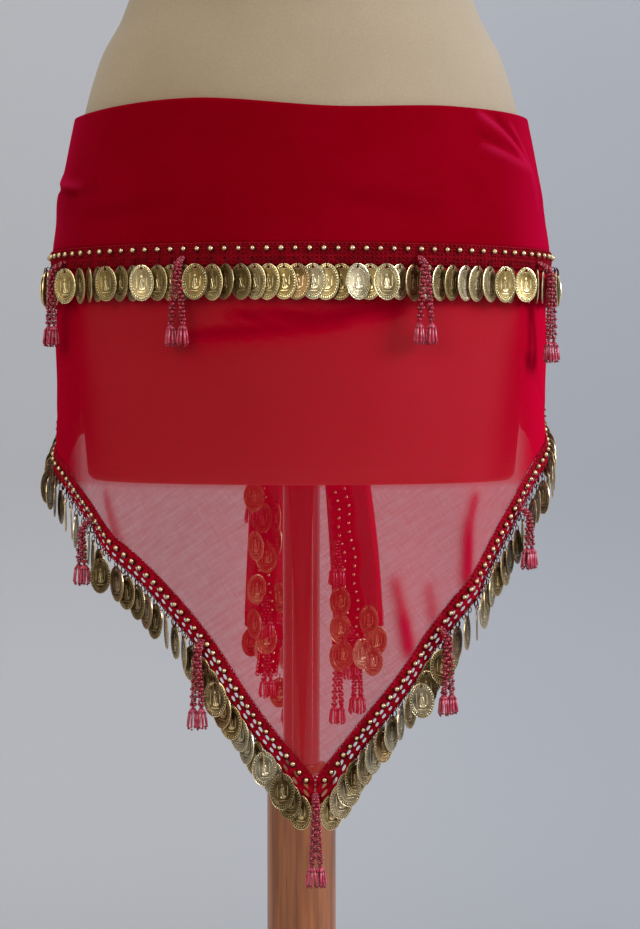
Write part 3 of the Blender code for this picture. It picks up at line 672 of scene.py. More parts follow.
def wood_finish(name, dark, light, rough, gloss, level=False):
    finish = Finish(name, dark, rough, Coat_Weight=gloss, Coat_Roughness=0.06)
    place = finish.place()
    if level:
        place = finish.mapped(place, turn=(0, 90, 0))
    streaks = finish.noise(finish.mapped(place, (1, 1, 0.05)), 190.0, 4.0, 0.6)
    broad = finish.noise(finish.mapped(place, (1, 1, 0.12)), 42.0, 3.0, 0.55)
    pores = finish.noise(finish.mapped(place, (1, 1, 0.03)), 700.0, 2.0)
    grain = streaks.between(0.35, 0.68) * 0.6 + broad.between(0.3, 0.7) * 0.4
    tone = finish.mix(grain, dark, light)
    finish.set(Base_Color=finish.mix(pores.between(0.58, 0.75) * 0.5, tone, tuple(c * 0.35 for c in dark)))
    finish.set(Roughness=rough + pores * 0.12)
    finish.bump(streaks * 0.4 + pores * 0.6, 0.0002, 0.25)
    return finish.material


def threads_of(finish, uv, rough):
    """The slanting slubs of the cloth and the threads that cross them."""
    slubs = finish.noise(finish.turned(uv, -SLUB_SLANT, (0.10, 1, 1)), 430.0, 3.0, rough)
    return slubs, finish.noise(finish.turned(uv, 90 - SLUB_SLANT, (0.12, 1, 1)), 620.0, 2.0)


def chiffon_finish(name, deep, bright, over_form, in_air):
    """Sheer cloth with a slanting slub, denser where it turns at the sides and in folds. Over the form it
    is more opaque and its folds darker, as painted shade of the jersey behind it.
    """
    finish = Finish(name, deep, CLOTH_ROUGH, Sheen_Weight=0.25, **MATT_CLOTH)
    uv = finish.place("UV")
    slubs, threads = threads_of(finish, uv, 0.65)
    clouds = finish.noise(uv, 9.0, 3.0)
    weave = slubs * 0.65 + threads * 0.35
    fold = finish.attribute("fold").size()
    x, _, height = finish.parts(finish.place())
    over = height.between(FORM_BOTTOM - 0.003, FORM_BOTTOM + 0.003)
    turned = x.size().between(*SIDE_TURN)
    lit_side = x.between(0.0, SIDE_TURN[1])
    tone = weave.between(0.33, 0.66) * 0.30 + clouds.between(0.3, 0.7) * 0.5
    cloth = finish.mix(tone, deep, bright)
    # Folds over the form take the darker red: painted shade.
    folded = finish.mix(over, FOLD_RED, FOLD_RED_OVER_FORM)
    cloth = finish.mix((fold * 1.3).least(1.0), cloth, folded)
    # The turned sides are painted darker on the left and lighter on the right: painted shade and painted
    # light from the right.
    side = finish.mix(lit_side, tuple(c * 0.70 for c in deep), tuple(c * 0.80 for c in bright))
    finish.set(Base_Color=finish.mix(turned * 0.8, cloth, side))
    # The higher opacity over the form is painted shade of the jersey behind the cloth.
    alpha = in_air + (over_form - in_air) * over + (weave - 0.5) * (0.42 - over * 0.34)
    dense = turned.most((fold * 1.25).least(0.93))
    finish.set(Alpha=(alpha + (1 - alpha) * dense).least(1.0))
    finish.bump(weave, 0.0002, 0.3)
    return finish.material


def double_chiffon_finish():
    """Two layers of the cloth: deeper, with a painted highlight on the crest of a crease, painted shade in
    its trough and painted light on the lit side.
    """
    finish = Finish(
        "crimson_double_chiffon", (0.2, 0.0, 0.004), CLOTH_ROUGH, Sheen_Weight=0.45, **MATT_CLOTH
    )
    uv = finish.place("UV")
    slubs, threads = threads_of(finish, uv, 0.6)
    clouds = finish.noise(uv, 11.0, 3.0)
    weave = slubs * 0.5 + threads * 0.5
    fold = finish.attribute("fold") * 1.9
    tone = weave.between(0.3, 0.7) * 0.4 + clouds.between(0.3, 0.7) * 0.6
    cloth = finish.mix(tone, (0.205, 0.0001, 0.0036), (0.250, 0.0001, 0.0060))
    # Painted highlight on the crests of the creases.
    cloth = finish.mix(fold.most(0.0).least(1.0) * 0.65, cloth, (0.50, 0.010, 0.055))
    # Painted shade in the troughs of the creases.
    cloth = finish.mix((fold * -1.0).most(0.0).least(1.0) * 0.6, cloth, (0.13, 0.0, 0.002))
    lit_side = finish.parts(finish.place())[0].between(0.135, 0.185)
    finish.set(Base_Color=finish.mix(lit_side * 0.8, cloth, (0.40, 0.0005, 0.022)))
    finish.bump(weave, 0.0002, 0.3)
    return finish.material


def crochet_finish(name, deep, bright):
    finish = Finish(name, deep, 0.8, Specular_IOR_Level=0.08)
    place = finish.place()
    ply = finish.noise(finish.mapped(place, (1, 1, 1), (0, 35, 0)), 1500.0, 2.0)
    patches = finish.noise(place, 160.0, 2.0)
    red = finish.mix(patches.between(0.3, 0.7), deep, bright)
    finish.set(Base_Color=finish.mix(ply.between(0.4, 0.7) * 0.4, red, tuple(c * 0.35 for c in deep)))
    finish.bump(ply, 0.0003, 0.6)
    return finish.material


def dark_thread_finish():
    finish = Finish("dark_red_thread", (0.06, 0.001, 0.004), 0.85, Specular_IOR_Level=0.1)
    ply = finish.noise(finish.place(), 1800.0, 2.0)
    finish.set(Base_Color=finish.mix(ply, (0.040, 0.0, 0.002), (0.11, 0.001, 0.005)))
    finish.bump(ply, 0.0002, 0.5)
    return finish.material


PALE_METAL = (0.98, 0.93, 0.70)
COPPER = (0.42, 0.20, 0.10)


def coin_finish(name, low, high, dirt, rough):
    """A pressed coin: a ring of small teeth round its rim and a plain seated shape in its middle."""
    finish = Finish(name, high, rough, metallic=1.0)
    uv = finish.place("UV")
    u, v, _ = finish.parts(uv)
    x, z = (u - 0.5) * 2.0, (v - 0.5) * 2.0
    away = (x * x + z * z) ** 0.5
    round_it = z.sum("ARCTAN2", z, x)
    teeth = (round_it * 34.0).wave().between(-0.2, 0.5)
    on_rim = away.between(0.76, 0.80) * (1 - away.between(0.90, 0.94))
    ring = away.between(0.92, 0.96)
    line = 1 - ((away - 0.72).size()).between(0.012, 0.035)

    def blob(at_x, at_z, half_x, half_z):
        dx, dz = (x - at_x) / half_x, (z - at_z) / half_z
        return 1 - (dx * dx + dz * dz).between(0.55, 1.15)

    head = blob(-0.02, 0.34, 0.11, 0.095)
    robe = blob(0.0, -0.04, 0.22, 0.30)
    lap = blob(0.06, -0.30, 0.30, 0.13)
    left_staff = blob(-0.40, 0.02, 0.035, 0.44)
    right_leaf = blob(0.42, 0.02, 0.06, 0.34)
    ground = blob(0.0, -0.50, 0.46, 0.030)
    figure = head.most(robe).most(lap).most(left_staff).most(right_leaf).most(ground)
    folds = ((x * 30.0 + z * 9.0).wave() * 0.5 + 0.5) * robe * 0.35
    place = finish.place()
    worn = finish.noise(place, 420.0, 4.0, 0.6)
    blotches = finish.noise(place, 90.0, 3.0)
    height = teeth * on_rim * 0.9 + ring * 0.8 + line * 0.5 + figure * 0.9 - folds + worn * 0.25
    finish.bump(height, 0.00105, 1.0)
    raised = (teeth * on_rim + ring + line * 0.6 + figure * 0.85 - folds).least(1.0)
    tone = finish.attribute("tone")
    metal = finish.mix((raised * 0.75 + worn.between(0.35, 0.7) * 0.35).least(1.0), low, high)
    metal = finish.mix(tone.between(0.55, 1.0) * 0.42, metal, PALE_METAL)
    metal = finish.mix((1 - (tone - 0.46).size().between(0.03, 0.08)) * 0.55, metal, COPPER)
    metal = finish.mix((1 - tone.between(0.0, 0.4)) * 0.55, metal, dirt)
    grime = (1 - raised) * (0.35 + blotches.between(0.35, 0.7) * 0.5)
    finish.set(Base_Color=finish.mix(grime, metal, dirt))
    finish.set(Roughness=rough + (1 - raised) * 0.22 + worn * 0.1)
    return finish.material


def gold_bead_finish():
    finish = Finish("gold_bead", (0.80, 0.58, 0.30), 0.22, metallic=0.9)
    spots = finish.noise(finish.place(), 500.0, 2.0)
    finish.set(Base_Color=finish.mix(spots, (0.66, 0.44, 0.19), (0.95, 0.76, 0.45)))
    finish.set(Roughness=0.16 + spots * 0.18)
    return finish.material


def glass_bead_finish(name, deep, bright):
    finish = Finish(name, deep, 0.16, Coat_Weight=0.45, Coat_Roughness=0.03)
    place = finish.place()
    change = finish.noise(place, 330.0, 2.0)
    streak = finish.noise(finish.mapped(place, (1, 1, 0.2)), 900.0, 2.0)
    finish.set(Base_Color=finish.mix(change.between(0.35, 0.65) * 0.7 + streak * 0.3, deep, bright))
    finish.set(Roughness=0.12 + streak * 0.15)
    return finish.material


def wall_finish():
    finish = Finish("pale_wall", (0.50, 0.50, 0.51), 0.9)
    place = finish.place()
    clouds = finish.noise(place, 1.3, 2.0)
    # The wall is painted darker towards the right: painted shade.
    side = finish.parts(place)[0].between(-0.9, 0.9)
    pale = finish.mix(clouds, (0.470, 0.465, 0.458), (0.488, 0.483, 0.476))
    finish.set(Base_Color=finish.mix(side, pale, (0.369, 0.377, 0.385)))
    behind = Value(finish, finish.add("ShaderNodeNewGeometry").outputs["Backfacing"])
    finish.set(Alpha=1 - behind)
    return finish.material


JERSEY = jersey_finish()
WOOD_TONES = ((0.19, 0.052, 0.014), (0.41, 0.135, 0.036))
WOOD = wood_finish("varnished_wood", *WOOD_TONES, 0.30, 0.35)
BASE_WOOD = wood_finish("varnished_wood_level", *WOOD_TONES, 0.30, 0.35, level=True)
POLE_WOOD = wood_finish("pole_wood", (0.16, 0.030, 0.016), (0.28, 0.06, 0.03), 0.14, 1.0)
VEIL_CLOTH = chiffon_finish("crimson_chiffon", (0.50, 0.0006, 0.013), (0.58, 0.0012, 0.022), 0.555, 0.40)
TAIL_CLOTH = chiffon_finish(
    "crimson_chiffon_folded", (0.40, 0.0006, 0.012), (0.52, 0.001, 0.020), 0.85, 0.80
)
BAND_CLOTH = double_chiffon_finish()
CROCHET = crochet_finish("red_crochet", (0.23, 0.0005, 0.005), (0.33, 0.0008, 0.009))
# The hem and tied-end crochet is the same red yarn as CROCHET, painted lighter: painted light.
HEM_CROCHET = crochet_finish("red_crochet_painted_lit", (0.32, 0.0006, 0.009), (0.50, 0.001, 0.018))
THREAD = dark_thread_finish()
GOLD = coin_finish("antique_gold_coin", (0.52, 0.34, 0.10), (1.0, 0.84, 0.42), (0.11, 0.062, 0.016), 0.24)
BRASS = coin_finish(
    "antique_brass_coin", (0.22, 0.125, 0.036), (0.95, 0.71, 0.34), (0.035, 0.018, 0.005), 0.20
)
GOLD_BEAD = gold_bead_finish()
SEED = glass_bead_finish("red_seed_bead", (0.15, 0.001, 0.006), (0.40, 0.004, 0.025))
BUGLE = glass_bead_finish("pink_red_bugle_bead", (0.30, 0.006, 0.030), (0.66, 0.07, 0.12))


# ---------------------------------------------------------------------------------------------
# Making pieces
# ---------------------------------------------------------------------------------------------
def set_uv(mesh, uv):
    """Gives every corner of a face the UV place of its point."""
    layer = mesh.uv_layers.get("UVMap") or mesh.uv_layers.new(name="UVMap")
    corners = np.empty(len(mesh.loops), np.int32)
    mesh.loops.foreach_get("vertex_index", corners)
    layer.data.foreach_set("uv", np.asarray(uv, np.float32)[corners].ravel())


def set_attribute(mesh, name, values):
    """A number or a vector for each point."""
    values = np.asarray(values, np.float32)
    kind, key = ("FLOAT", "value") if values.ndim == 1 else ("FLOAT_VECTOR", "vector")
    layer = mesh.attributes.new(name, kind, "POINT")
    layer.data.foreach_set(key, values.ravel())


def faces_out(mesh):
    """Turns the faces of a closed mesh outwards and removes points that no face uses."""
    work = bmesh.new()
    work.from_mesh(mesh)
    bmesh.ops.recalc_face_normals(work, faces=work.faces)
    bmesh.ops.delete(work, geom=[v for v in work.verts if not v.link_faces], context="VERTS")
    work.to_mesh(mesh)
    work.free()


def linked(name, mesh):
    """An object with this mesh, camera or light in the scene."""
    made = bpy.data.objects.new(name, mesh)
    bpy.context.scene.collection.objects.link(made)
    return made


def applied(helper):
    """The mesh of a helper with its modifiers applied. The helper itself goes."""
    graph = bpy.context.evaluated_depsgraph_get()
    mesh = bpy.data.meshes.new_from_object(helper.evaluated_get(graph))
    bpy.data.objects.remove(helper)
    return mesh


def make_mesh(name, points, faces, finish, uv=None, fold=None):
    mesh = bpy.data.meshes.new(name)
    faces = faces if isinstance(faces, list) else faces.tolist()
    mesh.from_pydata(np.asarray(points, float).tolist(), [], faces)
    if uv is not None:
        set_uv(mesh, uv)
    if fold is not None:
        set_attribute(mesh, "fold", fold)
    mesh.shade_smooth()
    mesh.materials.append(finish)
    return mesh


def add_piece(name, mesh, nodes=()):
    """Puts a finished mesh in the scene as a piece that stands for the nodes named."""
    piece = linked(name, mesh)
    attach(piece, "root")
    if nodes:
        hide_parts(*nodes)
    return piece


def grid_faces(rows, columns, start=0, flip=False, round_it=False):
    """Four-sided faces between the rows and columns of a grid of points, closed round if asked."""
    last = columns if round_it else columns - 1
    row, column = np.meshgrid(np.arange(rows - 1), np.arange(last), indexing="ij")
    here, column = row.ravel() * columns, column.ravel()
    after = (column + 1) % columns
    corners = [here + column, here + after, here + columns + after, here + columns + column]
    if flip:
        corners.reverse()
    return np.stack(corners, axis=1) + start


def rim_of(rows, columns):
    """The points round the edge of a grid, in order."""
    rim = [(0, c) for c in range(columns)] + [(r, columns - 1) for r in range(1, rows)]
    rim += [(rows - 1, c) for c in range(columns - 2, -1, -1)] + [(r, 0) for r in range(rows - 2, 0, -1)]
    return [row * columns + column for row, column in rim]


def walls_round(rim, count):
    """Faces from a closed rim of points to the same points of a second side, a count further on."""
    return [[a, b, b + count, a + count] for a, b in zip(rim, rim[1:] + rim[:1])]


def end_caps(rows, columns):
    """Two faces that close the ends of a grid of points that runs round."""
    return [list(range(columns))[::-1], [(rows - 1) * columns + i for i in range(columns)]]


def end_fans(rows, columns):
    """Triangles that close such a grid with one middle point at each end, which follow the grid."""
    first, last, faces = rows * columns, (rows - 1) * columns, []
    for i in range(columns):
        j = (i + 1) % columns
        faces += [[first, j, i], [first + 1, last + i, last + j]]
    return faces


def grid_normals(grid):
    return unit(np.cross(np.gradient(grid, axis=0), np.gradient(grid, axis=1)))


def shell(name, grid, finish, uv, fold=None):
    """A thin closed wall whose outer side is the grid: rows run down, columns to the right."""
    rows, columns = grid.shape[:2]
    back = grid - SHELL_THICK * grid_normals(grid)
    count = rows * columns
    faces = [grid_faces(rows, columns, flip=True), grid_faces(rows, columns, count)]
    faces.append(np.array(walls_round(rim_of(rows, columns), count)))
    points = np.concatenate([grid.reshape(-1, 3), back.reshape(-1, 3)])
    uv = np.concatenate([uv.reshape(-1, 2)] * 2)
    fold = None if fold is None else np.concatenate([fold.ravel()] * 2)
    return make_mesh(name, points, np.concatenate(faces), finish, uv, fold)


def lathe(name, profile, finish, sides=96):
    """A turned piece round the Z axis, from rows of radius and height, closed at both ends."""
    turns = full_turn(sides)
    profile = np.asarray(profile, float)
    radius, height = profile[:, :1], profile[:, 1:]
    grid = np.stack([radius * np.cos(turns), radius * np.sin(turns), height + 0 * turns], axis=-1)
    faces = grid_faces(len(profile), sides, round_it=True).tolist() + end_caps(len(profile), sides)
    mesh = make_mesh(name, grid.reshape(-1, 3), faces, finish)
    mesh.set_sharp_from_angle(angle=math.radians(35))
    return mesh


def arc(centre, radius, start, end, count):
    turns = np.radians(np.linspace(start, end, count))
    return [(centre[0] + radius * math.cos(t), centre[1] + radius * math.sin(t)) for t in turns]


def hidden_shape(name, points, faces):
    """A small shape that is repeated on points and isn't itself in the scene."""
    return bpy.data.objects.new(name, make_mesh(name, points, faces, GOLD))


def repeat_tree():
    """Puts a shape on every point, with the turn and size that the point holds, a little unevenly."""
    tree = bpy.data.node_groups.new("repeat_on_points", "GeometryNodeTree")
    add_socket = tree.interface.new_socket
    add_socket("Result", in_out="OUTPUT", socket_type="NodeSocketGeometry")
    kinds = {
        "Points": "Geometry", "Shape": "Object", "Finish": "Material",
        "Size change": "Float", "Sway": "Float", "Seed": "Int",
    }
    keys = {}
    for name, kind in kinds.items():
        keys[name] = add_socket(name, in_out="INPUT", socket_type=f"NodeSocket{kind}").identifier

    def node(kind, settings=None, **links):
        """A node with its settings, then its sockets by name, or by number as i0, i1 and so on."""
        made = tree.nodes.new(kind)
        for key, value in (settings or {}).items():
            setattr(made, key, value)
        for key, value in links.items():
            key = key.replace("_", " ")
            socket = made.inputs[int(key[1:])] if key[0] == "i" and key[1:].isdigit() else made.inputs[key]
            if isinstance(value, bpy.types.NodeSocket):
                tree.links.new(value, socket)
            else:
                socket.default_value = value
        return made

    def held(name):
        kind = {"data_type": "FLOAT_VECTOR"}
        return node("GeometryNodeInputNamedAttribute", kind, Name=name).outputs[0]

    def maths(operation, first, second):
        return node("ShaderNodeMath", {"operation": operation}, i0=first, i1=second).outputs[0]

    given = node("NodeGroupInput").outputs
    seed, uneven = given["Seed"], given["Size change"]
    shape = node("GeometryNodeObjectInfo", None, Object=given["Shape"]).outputs["Geometry"]
    sway = node(
        "FunctionNodeRandomValue", {"data_type": "FLOAT_VECTOR"}, Min=(-1, -1, -1), Max=(1, 1, 1), Seed=seed
    )
    scale = {"operation": "SCALE"}
    swayed = node("ShaderNodeVectorMath", scale, i0=sway.outputs[0], Scale=given["Sway"])
    turned = node("ShaderNodeVectorMath", {"operation": "ADD"}, i0=held("turn"), i1=swayed.outputs[0])
    change = node("FunctionNodeRandomValue", {"data_type": "FLOAT"}, Seed=seed)
    tree.links.new(maths("SUBTRACT", 1.0, uneven), change.inputs[2])
    tree.links.new(maths("ADD", 1.0, uneven), change.inputs[3])
    sized = node("ShaderNodeVectorMath", scale, i0=held("size"), Scale=change.outputs[1])
    rotation = node("FunctionNodeEulerToRotation", None, Euler=turned.outputs[0]).outputs[0]
    placed = node(
        "GeometryNodeInstanceOnPoints", None,
        Points=given["Points"], Instance=shape, Rotation=rotation, Scale=sized.outputs[0],
    )
    real = node("GeometryNodeRealizeInstances", None, Geometry=placed.outputs[0])
    last = node("GeometryNodeSetMaterial", None, Geometry=real.outputs[0], Material=given["Finish"])
    tree.links.new(last.outputs[0], node("NodeGroupOutput").inputs[0])
    return tree, keys


REPEAT, REPEAT_KEYS = repeat_tree()


def turns_of(across, facing, up):
    """Euler turns that carry X to across, Y to facing and Z to up."""
    return np.stack(
        [
            np.arctan2(facing[:, 2], up[:, 2]),
            -np.arcsin(np.clip(across[:, 2], -1, 1)),
            np.arctan2(across[:, 1], across[:, 0]),
        ],
        axis=-1,
    )


def repeat(name, shape, points, turns, finish, sizes=1.0, tone=None, size_change=0.0, sway=0.0, seed=1):
    """One mesh with the shape on every point. Sizes are one for all, three for all or three a point."""
    mesh = bpy.data.meshes.new(name)
    mesh.from_pydata(np.asarray(points).tolist(), [], [])
    set_attribute(mesh, "turn", turns)
    set_attribute(mesh, "size", np.broadcast_to(sizes, (len(points), 3)))
    if tone is not None:
        set_attribute(mesh, "tone", tone)
    carrier = linked(name + "_points", mesh)
    modifier = carrier.modifiers.new("repeat", "NODES")
    modifier.node_group = REPEAT
    given = {"Shape": shape, "Finish": finish, "Size change": size_change, "Sway": sway, "Seed": seed}
    for key, value in given.items():
        modifier[REPEAT_KEYS[key]] = value
    made = applied(carrier)
    made.name = name
    made.materials.clear()
    made.materials.append(finish)
    return made


def add_repeated(name, shape, points, turns, finish, slot, nodes=(), **more):
    """A piece that is one shape on every point."""
    add_piece(name, repeat(name, shape, points, turns, finish, **more), nodes)


def joined(name, *meshes):
    """Several meshes as one, each with its own finish."""
    work = bmesh.new()
    for index, mesh in enumerate(meshes):
        before = len(work.faces)
        work.from_mesh(mesh)
        work.faces.ensure_lookup_table()
        for face in work.faces[before:]:
            face.material_index = index
    made = bpy.data.meshes.new(name)
    work.to_mesh(made)
    work.free()
    for mesh in meshes:
        made.materials.append(mesh.materials[0])
    return made


def thread_loop(name, path, thread, finish, sides=4):
    """A small shape that is repeated: a round thread bent to a closed loop through points."""
    ahead = unit(np.roll(path, -1, 0) - np.roll(path, 1, 0))
    side = np.cross(ahead[0], (0.31, 0.72, 0.2))
    turns = full_turn(sides)
    rings = []
    for point, run in zip(path, ahead):
        side = unit(side - (side @ run) * run)
        other = np.cross(run, side)
        rings.append(point + thread * (np.cos(turns)[:, None] * side + np.sin(turns)[:, None] * other))
    rings = np.array(rings)
    faces = grid_faces(len(rings) + 1, sides, flip=True, round_it=True) % (len(rings) * sides)
    return bpy.data.objects.new(name, make_mesh(name, rings.reshape(-1, 3), faces, finish))


# ---------------------------------------------------------------------------------------------
# Small shapes that are repeated
# ---------------------------------------------------------------------------------------------
def ball_shape(name, around=8, rings=4, flat=0.8):
    """A bead 1 mm in radius with its axis along Z, flattened at its ends."""
    points, faces = [(0, 0, ONE_MM * flat)], []
    for ring in range(1, rings + 1):
        tilt = math.pi * ring / (rings + 1)
        radius, height = ONE_MM * math.sin(tilt), ONE_MM * flat * math.cos(tilt)
        points += [(radius * math.cos(turn), radius * math.sin(turn), height) for turn in full_turn(around)]
    points.append((0, 0, -ONE_MM * flat))
    last = len(points) - 1
    for i in range(around):
        j = (i + 1) % around
        faces.append([0, 1 + i, 1 + j])
        for ring in range(rings - 1):
            a, b = 1 + ring * around, 1 + (ring + 1) * around
            faces.append([a + i, b + i, b + j, a + j])
        faces.append([last, last - around + j, last - around + i])
    return hidden_shape(name, points, faces)


def rod_shape(name, around=7):
    """A tube bead 1 mm in radius and 1 mm in half length, along Z, with softened ends."""
    profile = [(0.00055, -ONE_MM), (ONE_MM, -0.0009), (ONE_MM, 0.0009), (0.00055, ONE_MM)]
    points = [(r * math.cos(turn), r * math.sin(turn), z) for r, z in profile for turn in full_turn(around)]
    faces = grid_faces(len(profile), around, round_it=True).tolist() + end_caps(len(profile), around)
    return hidden_shape(name, points, faces)


def stitch_shape(name, long=0.0021, wide=0.00125, rise=0.0004, thread=0.00052):
    """One chain stitch: a loop of yarn along X that rises towards its end."""
    turns = full_turn(8)
    across = wide * np.sin(turns) * (1 - 0.25 * np.cos(turns))
    path = np.stack([long * np.cos(turns), rise * np.cos(turns), across], axis=-1)
    return thread_loop(name, path, thread, CROCHET)


def ring_shape(name, half_deep, half_tall, thread):
    """A thread loop in the plane of Y and Z, hanging down from its top at the origin."""
    turns = full_turn(12)
    path = np.stack([0 * turns, half_deep * np.sin(turns), half_tall * (np.cos(turns) - 1)], axis=-1)
    return thread_loop(name, path, thread, THREAD)


def eyelet_shape(name, half_wide, half_tall, thread):
    """A thread ring in the plane of X and Z, centred on the origin."""
    turns = full_turn(10)
    path = np.stack([half_wide * np.cos(turns), 0 * turns, half_tall * np.sin(turns)], axis=-1)
    return thread_loop(name, path, thread, THREAD)


def coin_shape(name, sides=20):
    """An oval coin hanging below the origin, its faces to +Y and -Y, with a raised rim and a hole."""
    half_wide, half_tall = COIN_WIDE / 2, COIN_TALL / 2
    middle = -(COIN_NECK + half_tall)
    rim = [(0.76, 0.00022), (0.80, 0.00040), (0.95, 0.00044), (1.0, 0.00026)]
    profile = rim + [(share, -deep) for share, deep in reversed(rim)]
    points = [
        (share * half_wide * math.cos(t), deep, middle + share * half_tall * math.sin(t))
        for share, deep in profile
        for t in full_turn(sides)
    ]
    points += [(0, COIN_FACE, middle), (0, -COIN_FACE, middle)]
    faces = grid_faces(len(profile), sides, round_it=True).tolist() + end_fans(len(profile), sides)
    mesh = make_mesh(name, points, faces, GOLD)
    faces_out(mesh)
    coin = linked(name + "_whole", mesh)
    mesh = lathe(name + "_drill", [(COIN_HOLE, -0.002), (COIN_HOLE, 0.002)], GOLD, sides=8)
    faces_out(mesh)
    for vertex in mesh.vertices:
        x, y, z = vertex.co
        vertex.co = (x, -z, y + middle + 0.80 * half_tall)
    drill = linked(name + "_drill", mesh)
    cut = coin.modifiers.new("hole", "BOOLEAN")
    cut.operation, cut.object, cut.solver = "DIFFERENCE", drill, "EXACT"
    made = applied(coin)
    bpy.data.objects.remove(drill)
    co = np.array([vertex.co for vertex in made.vertices])
    set_uv(made, np.stack([0.5 + co[:, 0] / COIN_WIDE, 0.5 + (co[:, 2] - middle) / COIN_TALL], axis=-1))
    made.shade_smooth()
    made.set_sharp_from_angle(angle=math.radians(50))
    return bpy.data.objects.new(name, made)


BEAD = ball_shape("bead")
ROD = rod_shape("rod")
STITCH = stitch_shape("stitch")
SEED_BEAD = ball_shape("seed_bead", 6, 3, 0.75)
LOOP = ring_shape("coin_loop", 0.0011, 0.0031, 0.00032)
BEAD_SHADOW_RING = eyelet_shape("bead_eyelet", 0.0021, 0.0021, 0.00045)
HEM_LOOP = eyelet_shape("hem_loop", 0.0014, 0.0023, 0.00042)
COIN = coin_shape("coin")


# ---------------------------------------------------------------------------------------------
# The form and its stand
# ---------------------------------------------------------------------------------------------
def make_form():
    around = np.linspace(-math.pi, math.pi, 160, endpoint=False)
    turns = np.radians(np.linspace(0, 90, 6))
    straight = np.arange(FORM_BOTTOM + FORM_ROUND + 0.004, FORM_TOP, 0.005)
    heights = np.concatenate([FORM_BOTTOM + FORM_ROUND * (1 - np.cos(turns)), straight, [FORM_TOP]])
    insets = np.concatenate([-FORM_ROUND * (1 - np.sin(turns)), np.zeros(len(straight) + 1)])
    grid = np.array([surface(FORM, around, z, inset) for z, inset in zip(heights, insets)])
    rows, columns = grid.shape[:2]
    points = np.concatenate([grid.reshape(-1, 3), [[0, 0, FORM_BOTTOM], [0, 0, FORM_TOP]]])
    faces = grid_faces(rows, columns, round_it=True).tolist() + end_fans(rows, columns)
    mesh = make_mesh("form_jersey", points, faces, JERSEY)
    mesh.set_sharp_from_angle(angle=math.radians(60))
    add_piece("form_jersey", mesh, ["dress_form"])
    angles = np.linspace(-math.pi, math.pi, 1500)
    line = surface(FORM, angles, FORM_BOTTOM + FORM_STITCHES_UP, 0.0001)
    spots = walk(line, angles, FORM_STITCH_PITCH, curves=FORM)
    turns = turns_of(spots.outward, np.cross(spots.along, spots.outward), spots.along)
    sizes = (0.35, 0.35, 1.35)
    add_repeated("form_hem_stitches", ROD, spots.points, turns, JERSEY, "jersey", sizes=sizes)


def add_turned(node, profile, finish, sides=96):
    """A turned piece of wood that stands for a node."""
    name = node + "_wood"
    add_piece(name, lathe(name, profile, finish, sides), [node])


def make_stand():
    edge, foot, shoulder = BASE_EDGE, BASE_TALL + PIECE_GAP, COLUMN_TOP - COLUMN_ROUND
    profile = arc((BASE_RADIUS - edge, edge), edge, -90, 0, 7)
    profile += arc((BASE_RADIUS - edge, BASE_TALL - edge), edge, 0, 90, 7)
    add_turned("base", profile, BASE_WOOD, sides=128)
    r = COLUMN_RADIUS
    profile = [(r * 1.46, foot), (r * 1.5, foot + 0.001), (r * 1.5, foot + 0.006)]
    for t in np.linspace(0.15, 1, 6):
        profile.append((r * (1.12 + 0.38 * (1 - t) ** 2), foot + 0.006 + 0.010 * t))
    profile += [(r * 1.06, foot + 0.020), (r, foot + 0.024)]
    profile += [(r, z) for z in np.linspace(foot + 0.04, shoulder, 12)]
    for t in np.radians(np.linspace(10, 90, 9)):
        profile.append((r * (0.62 + 0.38 * math.cos(t)), shoulder + COLUMN_ROUND * math.sin(t)))
    add_turned("column", profile, WOOD)
    heights = np.linspace(COLUMN_TOP + PIECE_GAP, FORM_BOTTOM - PIECE_GAP, 24)
    add_turned("pole", [(POLE_RADIUS, z) for z in heights], POLE_WOOD, 64)
    add_turned("neck_cap", [(radius, FORM_TOP + PIECE_GAP + up) for radius, up in NECK_CAP], BASE_WOOD)


# ---------------------------------------------------------------------------------------------
# Cloth
# ---------------------------------------------------------------------------------------------
def cloth_mesh(name, angles, heights, out_of, creases, finish):
    """Cloth round the form, one row of points for each of the heights."""
    grid = np.array([surface(CLOTH, angles, z, out_of(angles, z)) for z in heights])
    uv = np.array([np.stack([angles * UV_REACH, z], axis=-1) for z in heights])
    fold = np.array([crease_shade(creases, angles, z) for z in heights])
    return shell(name, grid, finish, uv, fold)


def rows_between(start, end, count):
    return [start + (end - start) * share for share in np.linspace(0, 1, count)]


def make_cloth():
    angles = column_angles(480)
    top, hem, band = TOP.at(angles), hem_z(angles), BAND.at(angles)
    heights = rows_between(top, band, 13)[:-1] + rows_between(band, hem, 64)
    mesh = cloth_mesh("veil_cloth", angles, heights, veil_out, VEIL_CREASES, VEIL_CLOTH)
    veil = add_piece("veil_cloth", mesh, ["veil_panel"])
    heights = rows_between(top, band, 44)
    mesh = cloth_mesh("band_cloth", angles, heights, band_out, BAND_CREASES, BAND_CLOTH)
    return veil, add_piece("band_cloth", mesh, ["hip_band"])


